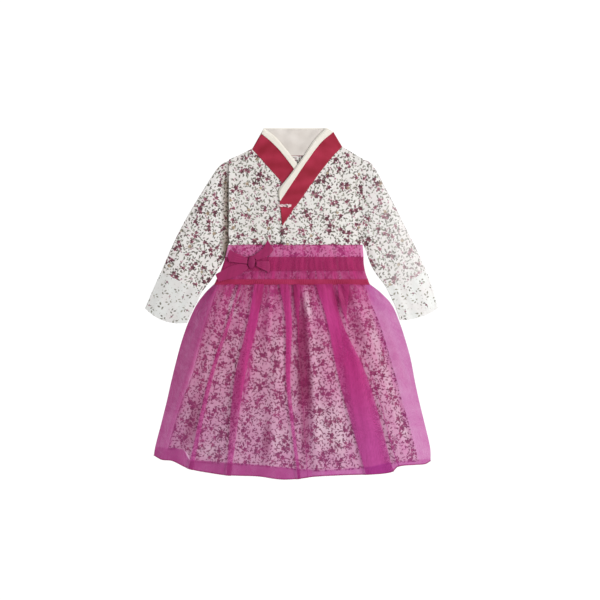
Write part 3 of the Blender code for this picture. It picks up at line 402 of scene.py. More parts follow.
# ---- heights of the lying cloths ----
class Lay:
    """The heights, in millimetres, at which the cloths lie on one another."""

    @staticmethod
    def back(y: Numbers) -> Numbers:
        """Underside of the bodice's back."""
        return WAIST_BACK * ease(150, 126, y)

    @staticmethod
    def front_lift(x: Numbers, y: Numbers) -> Numbers:
        """How far the fronts stand off the back."""
        edge_gap = np.minimum(x - RIGHT_ARMHOLE_X, LEFT_ARMHOLE_X - x)
        chest = mix(mix(1, CHEST_LIFT, ease(60, 150, y)), NECK_LIFT, ease(270, 310, y))
        lift = mix(ARMHOLE_LIFT * ease(112, 132, y), chest, ease(0, 40, edge_gap))
        ridge = np.interp(x, *zip(*SHOULDERS))
        neck_side = np.maximum(ease(30, 10, np.abs(x + 83)), ease(30, 10, np.abs(x - 106)))
        inside_neck = ease(-83, -70, x) * ease(106, 93, x)
        shoulder = mix(0.2, NECK_LIFT, np.maximum(neck_side, inside_neck))
        shoulder = mix(ARMHOLE_LIFT, shoulder, ease(4, 22, edge_gap))
        return mix(shoulder, lift, ease(0, 30, ridge - y))

    @staticmethod
    def under(x: Numbers, y: Numbers) -> Numbers:
        """Underside of the under front and its collar."""
        inner = ease(0, 30, np.minimum(x - RIGHT_ARMHOLE_X, LEFT_ARMHOLE_X - x))
        return (Lay.back(y) + COTTON + 0.4 + Lay.front_lift(x, y)
            + crease_rise(BODICE_CREASES, x, y) * inner)

    @staticmethod
    def over(x: Numbers, y: Numbers) -> Numbers:
        """Underside of the over front and its collar."""
        crossing = np.hypot(x - CROSSING[0], y - CROSSING[1])
        return (Lay.under(x, y) + (COTTON + LAY) * ease(118, 62, x)
            + CROSSING_LIFT * hump(crossing, CROSSING_REACH))

    @staticmethod
    def header(x: Numbers, y: Numbers) -> Numbers:
        """Underside of the header's front wall."""
        raise_by = (COTTON + LAY) * ease(-90, -30, x) * ease(118, 62, x)
        return Lay.under(x, y) + raise_by + COTTON + LAY

    @staticmethod
    def belt(x: Numbers, y: Numbers) -> Numbers:
        """Underside of the belt's front wall."""
        return Lay.header(x, y) + ORGANZA + LAY

    @staticmethod
    def bow(x: Numbers, y: Numbers) -> Numbers:
        """Height on which the bow lies."""
        return Lay.belt(x, y) + ORGANZA + LAY

    @staticmethod
    def skirt_back(y: Numbers) -> Numbers:
        """Underside of the skirt's back wall."""
        return mix(SKIRT_BACK, WAIST_BACK, ease(8, 38, y))

    @staticmethod
    def skirt_front(x: Numbers, y: Numbers) -> Numbers:
        """Middle of the skirt's front wall without its folds."""
        right, left = sides_at(SKIRT_SIDES, y)
        loft = mix(SKIRT_LOFT, SKIRT_WAIST_LOFT, ease(-10, 40, y))
        inner = ease(0, 34, np.minimum(x - right, left - x))
        return Lay.skirt_back(y) + COTTON * 1.5 + LAY + loft * inner

    @staticmethod
    def skirt_folds(x: Numbers, y: Numbers) -> Numbers:
        """What the skirt's creases add, which the overskirt on it follows."""
        right, left = sides_at(SKIRT_SIDES, y)
        part = np.clip((x - right) / (left - right), 0, 1)
        foot = through(*zip(*SKIRT_HEM), part)
        down = np.clip((WAIST_Y - y) / (WAIST_Y - foot), 0, 1)
        return ease(0, 0.05, np.minimum(part, 1 - part)) * fold_rise(SKIRT_FOLDS, part, down)

    @staticmethod
    def overskirt_front(x: Numbers, y: Numbers) -> Numbers:
        """Middle of the overskirt's front wall without its folds."""
        right, left = sides_at(OVERSKIRT_SIDES, y)
        skirt_right, skirt_left = sides_at(SKIRT_SIDES, y)
        outside = np.where(x < 0, x - right, left - x)
        width = np.maximum(8, np.where(x < 0, skirt_right - right, left - skirt_left))
        over_skirt = Lay.skirt_front(x, y) + Lay.skirt_folds(x, y) + COTTON / 2 + ORGANZA / 2 + LAY
        part = np.clip(outside / (0.85 * width), 0, 1)
        return mix(ORGANZA * 1.5 + LAY, over_skirt, part * part * (3 - 2 * part))

    @staticmethod
    def piping(x: Numbers, y: Numbers) -> Numbers:
        """Underside of the waist seam's front."""
        return np.maximum(Lay.header(x, y), Lay.skirt_front(x, y) + COTTON / 2 + LAY)


# ---- cloth grids ----
@dataclass
class ClothGrid:
    """A cloth's middle surface as a grid of points, with its place on the flat cloth.

    Attributes:
        points: Rows x columns x 3, in millimetres.
        flat: Rows x columns x 2, in millimetres, with one column more where it goes round.
        closed: Whether the columns go round.
    """
    points: Array
    flat: Array
    closed: bool = False

    def normals(self) -> Array:
        """Unit normals that point out of the piece, or up on an open sheet."""
        p = self.points
        if self.closed:
            across = np.roll(p, -1, axis=1) - np.roll(p, 1, axis=1)
        else:
            across = np.gradient(p, axis=1)
        normal = np.cross(across, np.gradient(p, axis=0))
        normal /= np.maximum(np.linalg.norm(normal, axis=2, keepdims=True), 1e-9)
        return normal * self.facing()

    def facing(self) -> float:
        """1 where rows crossed by columns point out, else -1."""
        p = self.points
        row = len(p) // 2
        column = int(np.argmax(p[row, :, 2])) if self.closed else p.shape[1] // 2
        after = (column + 1) % p.shape[1]
        normal = np.cross(p[row, after] - p[row, column], p[row + 1, column] - p[row, column])
        return 1 if normal[2] > 0 else -1

    def pushed(self, amount: Numbers) -> ClothGrid:
        """The same cloth moved out along its normals."""
        moved = self.points + self.normals() * np.broadcast_to(amount, self.points.shape[:2])[..., None]
        return ClothGrid(moved, self.flat, self.closed)

    def mesh(self, name: str, wall: float = 0) -> bpy.types.Mesh:
        """A mesh of the cloth, one sheer face where it has no wall, else a shell with rims.

        Args:
            name: The mesh's name.
            wall: The cloth's thickness in millimetres.

        Returns:
            The mesh, with its flat places in metres as the UV map "cloth".
        """
        rows, columns = self.points.shape[:2]
        span = columns if self.closed else columns - 1
        i, j = (a.ravel() for a in np.meshgrid(np.arange(rows - 1), np.arange(span), indexing="ij"))
        nxt = (j + 1) % columns
        out = self.facing() < 0

        def quads(one: Array, two: Array, three: Array, four: Array, forward: bool) -> Array:
            corners = [one, two, three, four]
            return np.stack(corners if forward else corners[::-1], axis=1)

        places = quads(i * columns + j, (i + 1) * columns + j, (i + 1) * columns + nxt, i * columns + nxt,
            out)
        width = self.flat.shape[1]
        on_flat = quads(i * width + j, (i + 1) * width + j, (i + 1) * width + j + 1, i * width + j + 1,
            out)
        flat = self.flat.reshape(-1, 2)
        if not wall:
            return self._made(name, self.points.reshape(-1, 3), places, flat[on_flat])
        normal = self.normals() * wall / 2
        both = np.concatenate([self.points + normal, self.points - normal]).reshape(-1, 3)
        under, faces, uvs = rows * columns, [places], [flat[on_flat]]
        faces.append(places[:, ::-1] + under)
        uvs.append(flat[on_flat[:, ::-1]])
        thin = np.array([0, wall])
        edges = []
        k = np.arange(span)
        k_next = (k + 1) % columns
        edges.append((k, k_next, k, k + 1))
        last = (rows - 1) * columns
        last_flat = (rows - 1) * width
        edges.append((last + k_next, last + k, last_flat + k + 1, last_flat + k))
        if not self.closed:
            r = np.arange(rows - 1)
            edges.append(((r + 1) * columns, r * columns, (r + 1) * width, r * width))
            end, end_flat = columns - 1, width - 1
            edges.append((r * columns + end, (r + 1) * columns + end, r * width + end_flat,
                (r + 1) * width + end_flat))
        for one, two, one_flat, two_flat in edges:
            faces.append(quads(one, two, two + under, one + under, out))
            a, b = flat[one_flat], flat[two_flat]
            corners = [a, b, b + thin, a + thin]
            uvs.append(np.stack(corners if out else corners[::-1], axis=1))
        return self._made(name, both, np.concatenate(faces), np.concatenate(uvs))

    @staticmethod
    def _made(name: str, points: Array, faces: Array, uvs: Array) -> bpy.types.Mesh:
        """A smooth-shaded mesh from points and quads in millimetres."""
        mesh = bpy.data.meshes.new(name)
        mesh.from_pydata((points * MM).tolist(), [], faces.tolist())
        layer = mesh.uv_layers.new(name="cloth")
        layer.data.foreach_set("uv", (uvs.reshape(-1, 2) * MM).ravel())
        mesh.shade_smooth()
        mesh.set_sharp_from_angle(angle=math.radians(60))
        mesh.update()
        return mesh


class Section(NamedTuple):
    """A flattened tube's section: its two ends, its middle line as (across, z), and its bow."""
    right: Array
    left: Array
    path: Array
    bow: Rise


def side_fold(centre: float, low: float, high: float, steps: int = 7) -> Array:
    """Middle-line points round a folded side, from low to high, as (out, z) from its edge."""
    radius = (high - low) / 2
    turn = np.pi * np.arange(1, steps + 1) / (steps + 1)
    return np.column_stack([centre - radius * np.sin(turn), low + radius * (1 - np.cos(turn))])


def ring_path(width: float, front: Array, back_z: float, back_count: int,
        back_rise: Rise | None = None) -> Array:
    """A closed middle line (across, z): front wall, one side, back wall, other side."""
    (start, start_z), (end, end_z) = front[0], front[-1]
    far = side_fold(width - end, back_z, end_z)[::-1]
    far[:, 0] = width - far[:, 0]
    across = np.linspace(end, start, back_count + 1)
    back_line = np.full(back_count + 1, back_z)
    if back_rise is not None:
        back_line = back_line + back_rise(across / width)
    back = np.column_stack([across, back_line])
    return np.concatenate([front, far, back, side_fold(start, back_z, start_z)])


def tube_grid(sections: Sequence[Section]) -> ClothGrid:
    """The grid of a pressed-flat tube from its sections."""
    points, flats = [], []
    middles = np.array([(section.right + section.left) / 2 for section in sections])
    for section, down_cloth in zip(sections, run_lengths(middles)):
        start, end = section.right, section.left
        width = float(np.linalg.norm(end - start))
        along = (end - start) / width
        down = np.array([along[1], -along[0]])
        across, z = section.path.T
        bow = section.bow(across / width)
        place = start + along * across[:, None] + down * bow[:, None]
        points.append(np.column_stack([place, z]))
        steps = np.linalg.norm(np.diff(section.path, axis=0, append=section.path[:1]), axis=1)
        around = np.concatenate([[0], np.cumsum(steps)])
        crown = int(np.argmin(np.abs(across[:len(across) // 2] - width / 2)))
        flats.append(np.column_stack([around - around[crown], -(down_cloth + np.append(bow, bow[:1]))]))
    return ClothGrid(np.array(points), np.array(flats), True)


def unrolled(tube: ClothGrid, front: int, fold: int = 7) -> ClothGrid:
    """The same tube with its flat place as the cut lies: its front as it is, its back turned out.

    Args:
        tube: A pressed-flat tube.
        front: How many of its columns are its front's.
        fold: How many go round a folded side.

    Returns:
        The tube, its flat place turned so that its length runs down.
    """
    place, count = tube.points[..., :2], tube.points.shape[1]
    steps = np.linalg.norm(np.diff(tube.points, axis=1, append=tube.points[:, :1]), axis=2)
    edge = place[:, front - 1]
    tangent = np.gradient(edge, axis=0)
    tangent /= np.linalg.norm(tangent, axis=1, keepdims=True)
    out = np.column_stack([-tangent[:, 1], tangent[:, 0]])
    out *= np.sign(((edge - place[:, 0]) * out).sum(axis=1, keepdims=True))
    bend = np.cumsum(steps[:, front - 1:front + fold], axis=1)
    side = edge[:, None] + out[:, None] * bend[:, :-1, None]
    back = place[:, front + fold:count - fold]
    inside = ((back - edge[:, None]) * out[:, None]).sum(axis=2, keepdims=True)
    back = back + out[:, None] * (bend[:, -1:, None] - 2 * inside)
    heading = back[:, -1] - back[:, -2]
    heading /= np.linalg.norm(heading, axis=1, keepdims=True)
    rest = back[:, -1:] + heading[:, None] * np.cumsum(steps[:, count - fold - 1:], axis=1)[..., None]
    flat = np.concatenate([place[:, :front], side, back, rest], axis=1)
    axis = place[-1, :front].mean(axis=0) - place[0, :front].mean(axis=0)
    axis /= np.linalg.norm(axis)
    across = np.array([-axis[1], axis[0]])
    return ClothGrid(tube.points, np.dstack([flat @ across, -(flat @ axis)]), True)


def panel_grid(rows: Array, level: Level) -> ClothGrid:
    """An open panel: rows of (x, y) points on a height function, its flat place as it lies."""
    x, y = rows[..., 0], rows[..., 1]
    return ClothGrid(np.dstack([x, y, level(x, y)]), rows.copy())


def rows_across(one: Array, other: Array, count: int) -> Array:
    """Straight rows of count points between two runs of edge points."""
    part = shares(count)[None, :, None]
    return mix(one[:, None, :], other[:, None, :], part)


# ---- node trees ----
class Signal:
    """A number in a node tree that can be reckoned with."""

    def __init__(self, recipe: Recipe, socket: Socket) -> None:
        self.recipe, self.socket = recipe, socket

    def __add__(self, other: Signal | float) -> Signal:
        """This and another."""
        return self.recipe.math("ADD", self, other)

    def __sub__(self, other: Signal | float) -> Signal:
        """This less another."""
        return self.recipe.math("SUBTRACT", self, other)

    def __rsub__(self, other: float) -> Signal:
        """A number less this."""
        return self.recipe.math("SUBTRACT", other, self)

    def __mul__(self, other: Signal | float) -> Signal:
        """This times another."""
        return self.recipe.math("MULTIPLY", self, other)

    def held(self) -> Signal:
        """This, held between 0 and 1."""
        return self.recipe.math("ADD", self, 0, clamp=True)

    def size(self) -> Signal:
        """This without its sign."""
        return self.recipe.math("ABSOLUTE", self)


class Recipe:
    """Builds a node tree a step at a time."""

    def __init__(self, tree: bpy.types.NodeTree) -> None:
        self.tree = tree

    def node(self, kind: str, inputs: dict | None = None, **settings: object) -> Node:
        """A node of one kind, with its settings and its inputs linked or set."""
        made = self.tree.nodes.new(kind)
        for name, value in settings.items():
            setattr(made, name, value)
        for key, value in (inputs or {}).items():
            self.feed(made.inputs[key], value)
        return made

    def out(self, kind: str, inputs: dict | None = None, **settings: object) -> Socket:
        """A node's first output."""
        return self.node(kind, inputs, **settings).outputs[0]

    def feed(self, socket: Socket, value: object) -> None:
        """Link a signal or socket to an input, or set the input to a plain value."""
        if isinstance(value, Signal):
            value = value.socket
        if isinstance(value, Socket):
            self.tree.links.new(value, socket)
        else:
            socket.default_value = value

    def fill(self, node: Node, **values: object) -> None:
        """Link or set a node's inputs by name, with _ for a space."""
        for name, value in values.items():
            self.feed(node.inputs[name.replace("_", " ")], value)

    def math(self, operation: str, *values: object, clamp: bool = False) -> Signal:
        """A number from other numbers."""
        made = self.node("ShaderNodeMath", dict(enumerate(values)), operation=operation, use_clamp=clamp)
        return Signal(self, made.outputs[0])

    def vector(self, operation: str, *values: object, scale: object = None) -> Socket:
        """A vector from other vectors."""
        inputs = dict(enumerate(values))
        if scale is not None:
            inputs["Scale"] = scale
        return self.node("ShaderNodeVectorMath", inputs, operation=operation).outputs[0]

    def joined(self, *numbers: object) -> Socket:
        """A vector from its numbers."""
        return self.node("ShaderNodeCombineXYZ", dict(enumerate(numbers))).outputs[0]

    def split(self, vector: Socket) -> tuple[Signal, Signal, Signal]:
        """A vector's three numbers."""
        made = self.node("ShaderNodeSeparateXYZ", {0: vector})
        return tuple(Signal(self, made.outputs[k]) for k in range(3))

    def blend(self, factor: object, one: object, other: object, kind: str = "MIX") -> Socket:
        """A colour between two."""
        return self.node("ShaderNodeMix", {0: factor, 6: one, 7: other}, data_type="RGBA",
            blend_type=kind).outputs[2]

    def ramp(self, value: object, low: float, high: float, start: float = 0, end: float = 1) -> Signal:
        """A smooth step from start to end as a value goes from low to high."""
        made = self.node("ShaderNodeMapRange",
            {"Value": value, "From Min": low, "From Max": high, "To Min": start, "To Max": end},
            interpolation_type="SMOOTHSTEP")
        return Signal(self, made.outputs[0])

    def noise(self, vector: object, scale: float, detail: float = 2, rough: float = 0.5) -> Signal:
        """Soft noise from 0 to 1."""
        made = self.node("ShaderNodeTexNoise",
            {"Vector": vector, "Scale": scale, "Detail": detail, "Roughness": rough})
        return Signal(self, made.outputs[0])


Colour = tuple[float, float, float, float]


def linear(red: int, green: int, blue: int) -> Colour:
    """A linear colour from one of 0 to 255 as screens have it."""
    shades = (red / 255, green / 255, blue / 255)
    return (*(c / 12.92 if c <= 0.04045 else ((c + 0.055) / 1.055) ** 2.4 for c in shades), 1)


# ---- the floral print ----
class Leaf(NamedTuple):
    """A pointed leaf of a motif: its middle, its turn in degrees, half length and half width."""
    x: float
    y: float
    turn: float
    half_length: float = 3.5
    half_width: float = 1.45


class Bloom(NamedTuple):
    """A rose of a motif: its middle and radius."""
    x: float
    y: float
    radius: float


@dataclass(frozen=True)
class Motif:
    """A motif that is scattered over the cloth, one in each cell of a turned, jittered grid.

    Attributes:
        cell: The grid's cell in millimetres.
        turn: The grid's turn in radians.
        seed: Sets its random turns and places.
        jitter: How far it strays in its cell, as a share of the cell.
        keep: The share of the cells that hold one.
        leaves: Its leaves.
        stems: Its stems, as very thin leaves.
        blooms: Its roses.
        tones: Its leaves' three colours.
        petals: Its roses' dark, middle and light colours.
    """
    cell: float
    turn: float
    seed: float
    jitter: float
    keep: float
    leaves: tuple[Leaf, ...] = ()
    stems: tuple[Leaf, ...] = ()
    blooms: tuple[Bloom, ...] = ()
    tones: tuple[Colour, Colour, Colour] = (linear(68, 40, 48), linear(94, 94, 80), linear(158, 156, 144))
    petals: tuple[Colour, Colour, Colour] = (linear(60, 16, 30), linear(120, 44, 70),
        linear(196, 136, 154))


STEM_COLOUR = linear(118, 114, 100)
GREY_GREEN = (linear(86, 80, 72), linear(122, 126, 110), linear(166, 168, 154))
FAINT_TONES = (linear(150, 132, 132), linear(168, 162, 150), linear(196, 190, 182))
CUFF_TONES = (linear(84, 76, 70), linear(116, 114, 98), linear(150, 146, 132))
MAROON_TONES = (linear(72, 30, 44), linear(104, 68, 76), linear(156, 126, 132))
SOFT_PETALS = (linear(80, 26, 44), linear(132, 60, 86), linear(190, 134, 152))
TAN_PETALS = (linear(122, 100, 80), linear(166, 142, 118), linear(198, 180, 158))
POSY = Motif(42, 0.35, 3, 0.36, 0.92, leaves=(Leaf(-10.6, 3.8, 62, 4, 1.7), Leaf(10, 4.4, -62, 3.8, 1.6),
    Leaf(1, -10.2, 14, 4, 1.7), Leaf(10, -8.2, 40, 3.5, 1.5), Leaf(-6.6, 10, 24, 3.6, 1.5)),
    blooms=(Bloom(0.6, 7.6, 3), Bloom(-4, 1.6, 5.9), Bloom(4.6, -2.8, 4.9)))
ROSE = Motif(29.5, 1.25, 9, 0.42, 0.92, leaves=(Leaf(-7.6, 3, 70, 3.8, 1.7), Leaf(6, -6.4, 38, 3.6, 1.7),
    Leaf(6.4, 5.8, -48, 3.4, 1.6)), blooms=(Bloom(-3.6, -4.4, 2.9), Bloom(0.4, 0.4, 5.1)))
TWIG = Motif(18.6, 2.1, 15, 0.2, 0.9, leaves=(Leaf(0.6, 6, 6, 4.1, 1.9), Leaf(-4.4, -1.4, 56, 3.8, 1.7),
    Leaf(4.4, -4, -38, 3.4, 1.6)), stems=(Leaf(0.2, -1, 8, 6, 0.6),))
SPRIG = Motif(11.6, 0.9, 21, 0.5, 0.78, leaves=(Leaf(0, 0, 0, 3.8, 1.7),))
PALE_SPRIG = Motif(13.6, 1.7, 39, 0.55, 0.85,
    leaves=(Leaf(0, 2.8, -14, 4, 1.8), Leaf(2.6, -4.4, 50, 3.6, 1.6)), tones=GREY_GREEN)
SPECK = Motif(10.5, 2.75, 27, 0.55, 0.8, leaves=(Leaf(0, 0, 0, 2.4, 1.1),), tones=FAINT_TONES)
TAN_FLOWER = Motif(50, 0.62, 33, 0.6, 0.9,
    leaves=(Leaf(-6.4, 3.4, 64, 3.6, 1.5), Leaf(6.2, -4.2, 50, 3.4, 1.5)), blooms=(Bloom(0, 0, 4.6),),
    petals=TAN_PETALS)
PINK_BUD = Motif(22, 2.45, 69, 0.5, 0.85, blooms=(Bloom(0, 0, 2.7), Bloom(3.8, 2.2, 2)),
    petals=(linear(108, 56, 80), linear(176, 120, 140), linear(214, 176, 188)))
CUFF_TWIG = Motif(21, 0.8, 45, 0.3, 0.9,
    leaves=(Leaf(0.2, 4.4, 8, 3.5, 1.9), Leaf(-3.2, -0.6, 52, 3.2, 1.7), Leaf(3, -3.6, -46, 3.2, 1.7)),
    stems=(Leaf(0, -1.2, 0, 6, 0.4),), tones=CUFF_TONES)
CUFF_SPECK = Motif(10, 1.9, 51, 0.5, 0.8, leaves=(Leaf(0, 0, 0, 2.3, 0.95),), tones=FAINT_TONES)
CUFF_BUD = Motif(34, 2.5, 57, 0.5, 0.85, blooms=(Bloom(0, 0, 2.5),),
    leaves=(Leaf(-3.4, 1.6, 62, 2.8, 1.2), Leaf(3.2, -1.6, 40, 2.6, 1.1)),
    petals=(linear(92, 40, 60), linear(150, 86, 108), linear(196, 150, 160)))


class Print(Enum):
    """The dense print of the bodice, the redder one of the skirt, and the sparse one of the cuffs."""
    DENSE = (SPECK, PALE_SPRIG, PINK_BUD, SPRIG, TWIG, TAN_FLOWER, ROSE, POSY)
    SKIRT = tuple(replace(motif, tones=MAROON_TONES, petals=SOFT_PETALS)
        for motif in (SPECK, PALE_SPRIG, SPRIG, TWIG, replace(ROSE, cell=36, seed=63, turn=2.4), ROSE,
        POSY))
    SPARSE = (CUFF_SPECK, CUFF_TWIG, CUFF_BUD)

    def group(self) -> bpy.types.NodeTree:
        """The print's node group, made once: a place in millimetres and a ground go in, and
        the printed colour comes out."""
        name = "print " + self.name.lower()
        if name in bpy.data.node_groups:
            return bpy.data.node_groups[name]
        tree = bpy.data.node_groups.new(name, "ShaderNodeTree")
        tree.interface.new_socket("Place", in_out="INPUT", socket_type="NodeSocketVector")
        tree.interface.new_socket("Ground", in_out="INPUT", socket_type="NodeSocketColor")
        tree.interface.new_socket("Colour", in_out="OUTPUT", socket_type="NodeSocketColor")
        recipe = Recipe(tree)
        given = recipe.node("NodeGroupInput")
        place, colour = given.outputs["Place"], given.outputs["Ground"]
        patches = (recipe.noise(place, 0.13, 1),
            recipe.noise(recipe.vector("ADD", place, (40, 90, 0)), 0.17, 1))
        for motif in self.value:
            colour = Printer(recipe, motif, place, patches).printed(colour)
        recipe.node("NodeGroupOutput", {"Colour": colour})
        return tree


class Printer:
    """Prints one motif over a ground in a node tree."""

    def __init__(self, recipe: Recipe, motif: Motif, place: Socket,
            patches: tuple[Signal, Signal]) -> None:
        self.recipe, self.motif, self.patches = recipe, motif, patches
        turned = recipe.out("ShaderNodeVectorRotate", {"Vector": place, "Angle": motif.turn},
            rotation_type="Z_AXIS")
        shifted = recipe.vector("ADD", recipe.vector("SCALE", turned, scale=1 / motif.cell),
            (motif.seed * 1.37, motif.seed * 0.71, 0))
        home = recipe.vector("FLOOR", shifted)
        self.luck = self._luck(home, motif.seed)
        self.other_luck = self._luck(home, motif.seed + 0.5)
        x, y, _ = recipe.split(recipe.vector("SUBTRACT", shifted, home))
        smaller = self.other_luck[1] * 0.4 + 0.84
        local = recipe.joined(*((at - 0.5 - (luck - 0.5) * motif.jitter) * smaller * motif.cell
            for at, luck in zip((x, y), self.luck)))
        self.local = recipe.out("ShaderNodeVectorRotate",
            {"Vector": local, "Angle": self.luck[2] * math.tau}, rotation_type="Z_AXIS")
        self.kept = recipe.math("LESS_THAN", self.other_luck[0], motif.keep)

    def _luck(self, home: Socket, seed: float) -> tuple[Signal, Signal, Signal]:
        """Three random numbers of a cell."""
        cell = self.recipe.vector("ADD", home, (0, 0, seed))
        noise = self.recipe.node("ShaderNodeTexWhiteNoise", {"Vector": cell}, noise_dimensions="3D")
        return self.recipe.split(noise.outputs["Color"])

    def _within(self, x: float, y: float, turn: float, wide: float, long: float) -> tuple[Signal, Signal]:
        """The place in a turned frame where a shape reaches 1 at its half width and length."""
        frame_here = self.recipe.out("ShaderNodeMapping",
            {"Vector": self.local, "Location": (x, y, 0), "Rotation": (0, 0, math.radians(turn)),
            "Scale": (wide, long, 1)}, vector_type="TEXTURE")
        return self.recipe.split(frame_here)[:2]

    def leaf(self, leaf: Leaf) -> Signal:
        """A leaf's cover, from 0 to 1."""
        x, y = self._within(leaf.x, leaf.y, leaf.turn, leaf.half_width, leaf.half_length)
        return ((1 - y * y - x.size()) * (leaf.half_width * 1.25)).held()

    def leaves(self, leaves: Sequence[Leaf]) -> Signal:
        """Several leaves' cover."""
        cover = self.leaf(leaves[0])
        for leaf in leaves[1:]:
            cover = self.recipe.math("MAXIMUM", cover, self.leaf(leaf))
        return cover * self.kept

    def bloom(self, ground: Socket, bloom: Bloom, phase: float) -> Socket:
        """A rose over a ground: five lobes, dark on one side, with turned petals."""
        x, y = self._within(bloom.x, bloom.y, phase * 40, bloom.radius, bloom.radius)
        far = self.recipe.math("SQRT", x * x + y * y)
        angle = self.recipe.math("ARCTAN2", y, x)
        lobes = (self.recipe.math("COSINE", angle * 5 + phase) * 0.17
            + self.recipe.math("COSINE", angle * 3 + phase * 2) * 0.09 + 0.85)
        cover = ((lobes - far) * (bloom.radius * 1.6)).held() * self.kept
        petals = self.recipe.math("SINE", far * 10 + angle * 2 + phase * 3)
        shade = (x * 0.52 + petals * 0.26 + far * 0.16 + self.other_luck[1] * 0.5 + 0.06).held()
        dark, middle, light = self.motif.petals
        rose = self.recipe.blend((shade * 2).held(), dark, middle)
        rose = self.recipe.blend((shade * 2 - 1).held(), rose, light)
        return self.recipe.blend(cover, ground, rose)

    def printed(self, ground: Socket) -> Socket:
        """The ground with the whole motif printed on it."""
        motif, colour = self.motif, ground
        if motif.stems:
            colour = self.recipe.blend(self.leaves(motif.stems) * 0.6, colour, STEM_COLOUR)
        if motif.leaves:
            dark, middle, light = motif.tones
            tone = self.recipe.blend((self.patches[0] * 3.4 - 1.2).held(), dark, middle)
            tone = self.recipe.blend((self.other_luck[2] * 1.5 + self.patches[1] * 2.4 - 1.75).held(),
                tone, light)
            colour = self.recipe.blend(self.leaves(motif.leaves), colour, tone)
        for k, bloom in enumerate(motif.blooms):
            colour = self.bloom(colour, bloom, 0.8 + 1.7 * k)
        return colour


# ---- finishes ----
class Reads(Enum):
    """Where a finish finds its place: on the flat cloth, or as the piece lies."""
    CLOTH = "cloth"
    LYING = "lying"


class Finish:
    """A finish with its own material, which is made once."""
    name: str

    def material(self) -> bpy.types.Material:
        """The finish's material."""
        name = "finish " + self.name
        if name in bpy.data.materials:
            return bpy.data.materials[name]
        made = bpy.data.materials.new(name)
        made.use_nodes = True
        recipe = Recipe(made.node_tree)
        self.dress(recipe, made.node_tree.nodes["Principled BSDF"])
        return made

    def dress(self, recipe: Recipe, shader: Node) -> None:
        """Feed the shader's inputs."""
        raise NotImplementedError

    @staticmethod
    def place(recipe: Recipe, reads: Reads) -> Socket:
        """The place in millimetres."""
        if reads is Reads.CLOTH:
            where = recipe.out("ShaderNodeUVMap", uv_map="cloth")
        else:
            where = recipe.node("ShaderNodeTexCoord").outputs["Object"]
        return recipe.vector("SCALE", where, scale=1000)

    @staticmethod
    def weave(recipe: Recipe, place: Socket, pitch: float) -> Signal:
        """A plain weave's height from 0 to 1: threads that pass over and under each other."""
        x, y, _ = recipe.split(place)
        one = recipe.math("SINE", x * (math.pi / pitch))
        other = recipe.math("SINE", y * (math.pi / pitch))
        return one * other * 0.5 + 0.5

    @staticmethod
    def bump(recipe: Recipe, shader: Node, height: Signal, depth: float) -> None:
        """Raise the surface by a height in millimetres."""
        raised = recipe.node("ShaderNodeBump", {"Height": height, "Distance": depth * MM})
        recipe.feed(shader.inputs["Normal"], raised.outputs[0])


class Tone(NamedTuple):
    """A soft stretch of a gathered skirt that turns to the light or away from it, where a finish paints
    light or shade, or where the organza lies denser.

    Attributes:
        middle: Its place across, from -1 at the wearer's right edge to 1 at the left.
        half_width: Its half width, in the same measure.
        top: Where it starts, in millimetres.
        foot: Where it has run out.
        depth: How strong it is.
    """
    middle: float
    half_width: float
    top: float
    foot: float
    depth: float

    @staticmethod
    def fan(recipe: Recipe) -> tuple[Signal, Signal]:
        """The place across a skirt that widens downward, from -1 to 1, and the height."""
        across, height, _ = recipe.split(Finish.place(recipe, Reads.LYING))
        return recipe.math("DIVIDE", across, height * -0.34 + 177), height

    def strength(self, recipe: Recipe, fan: Signal, height: Signal) -> Signal:
        """How strong the stretch is at a place."""
        off = (fan - self.middle) * (1 / self.half_width)
        span = min(75, (self.top - self.foot) / 2)
        run = (recipe.ramp(height, self.top + 8, self.top - span)
            * recipe.ramp(height, self.foot - 8, self.foot + span))
        return recipe.ramp(1 - off * off, 0, 1) * run * self.depth

    @staticmethod
    def total(recipe: Recipe, tones: Sequence[Tone]) -> Signal:
        """The strongest of several stretches at a place."""
        fan, height = Tone.fan(recipe)
        strongest = tones[0].strength(recipe, fan, height)
        for tone in tones[1:]:
            strongest = recipe.math("MAXIMUM", strongest, tone.strength(recipe, fan, height))
        return strongest


# Painted shade where the skirt turns away from the light, painted light where it turns toward it; CLOSE is
# denser organza beside the pleats.
PAINTED_SHADE_AWAY = rows_of(Tone, (0.115, 0.085, 30, -262, 1), (0.105, 0.045, -170, -352, 0.65),
    (-0.19, 0.04, -225, -350, 0.6), (0.57, 0.11, 44, -30, 0.95), (0.7, 0.09, 20, -110, 0.5),
    (-0.3, 0.05, 40, -120, 0.4), (-0.79, 0.06, -160, -330, 0.55), (-0.47, 0.05, -120, -330, 0.35),
    (0.705, 0.055, 60, -20, 1), (-0.39, 0.055, 60, -30, 1), (0.05, 0.035, 60, -40, 0.8),
    (1, 0.075, 20, -200, 0.3))
PAINTED_LIGHT_TOWARD = rows_of(Tone, (0.31, 0.2, -170, -356, 1), (-0.07, 0.12, -225, -350, 0.8),
    (-0.64, 0.13, -270, -345, 0.7), (0.87, 0.06, 0, -335, 0.7), (-0.16, 0.11, -20, -200, 0.45),
    (0, 1.3, -30, -500, 0.45), (-0.46, 0.06, -170, -356, 0.8), (0.01, 0.04, -110, -356, 0.6),
    (-0.68, 0.075, 60, -50, 0.9), (0.19, 0.06, 60, -60, 0.9), (0.63, 0.11, -170, -420, 0.3))
CLOSE = rows_of(Tone, (0.455, 0.085, 70, -150, 0.9), (0.585, 0.115, -60, -440, 0.95),
    (-0.415, 0.055, 70, -230, 0.8), (-0.03, 0.04, 60, -200, 0.5))
BLUSH = linear(224, 210, 210)
# Painted shade where a sleeve tucks in under the bodice's edge.
PAINTED_TUCK_SHADE = linear(172, 160, 150)
# Painted shade where the skirt's folds turn away from the light.
FOLD_SHADE = linear(152, 116, 128)
# Painted light: lighter, purpler threads lower down the skirt.
LOW_THREADS = (0.62, 0.115, 0.43, 1)


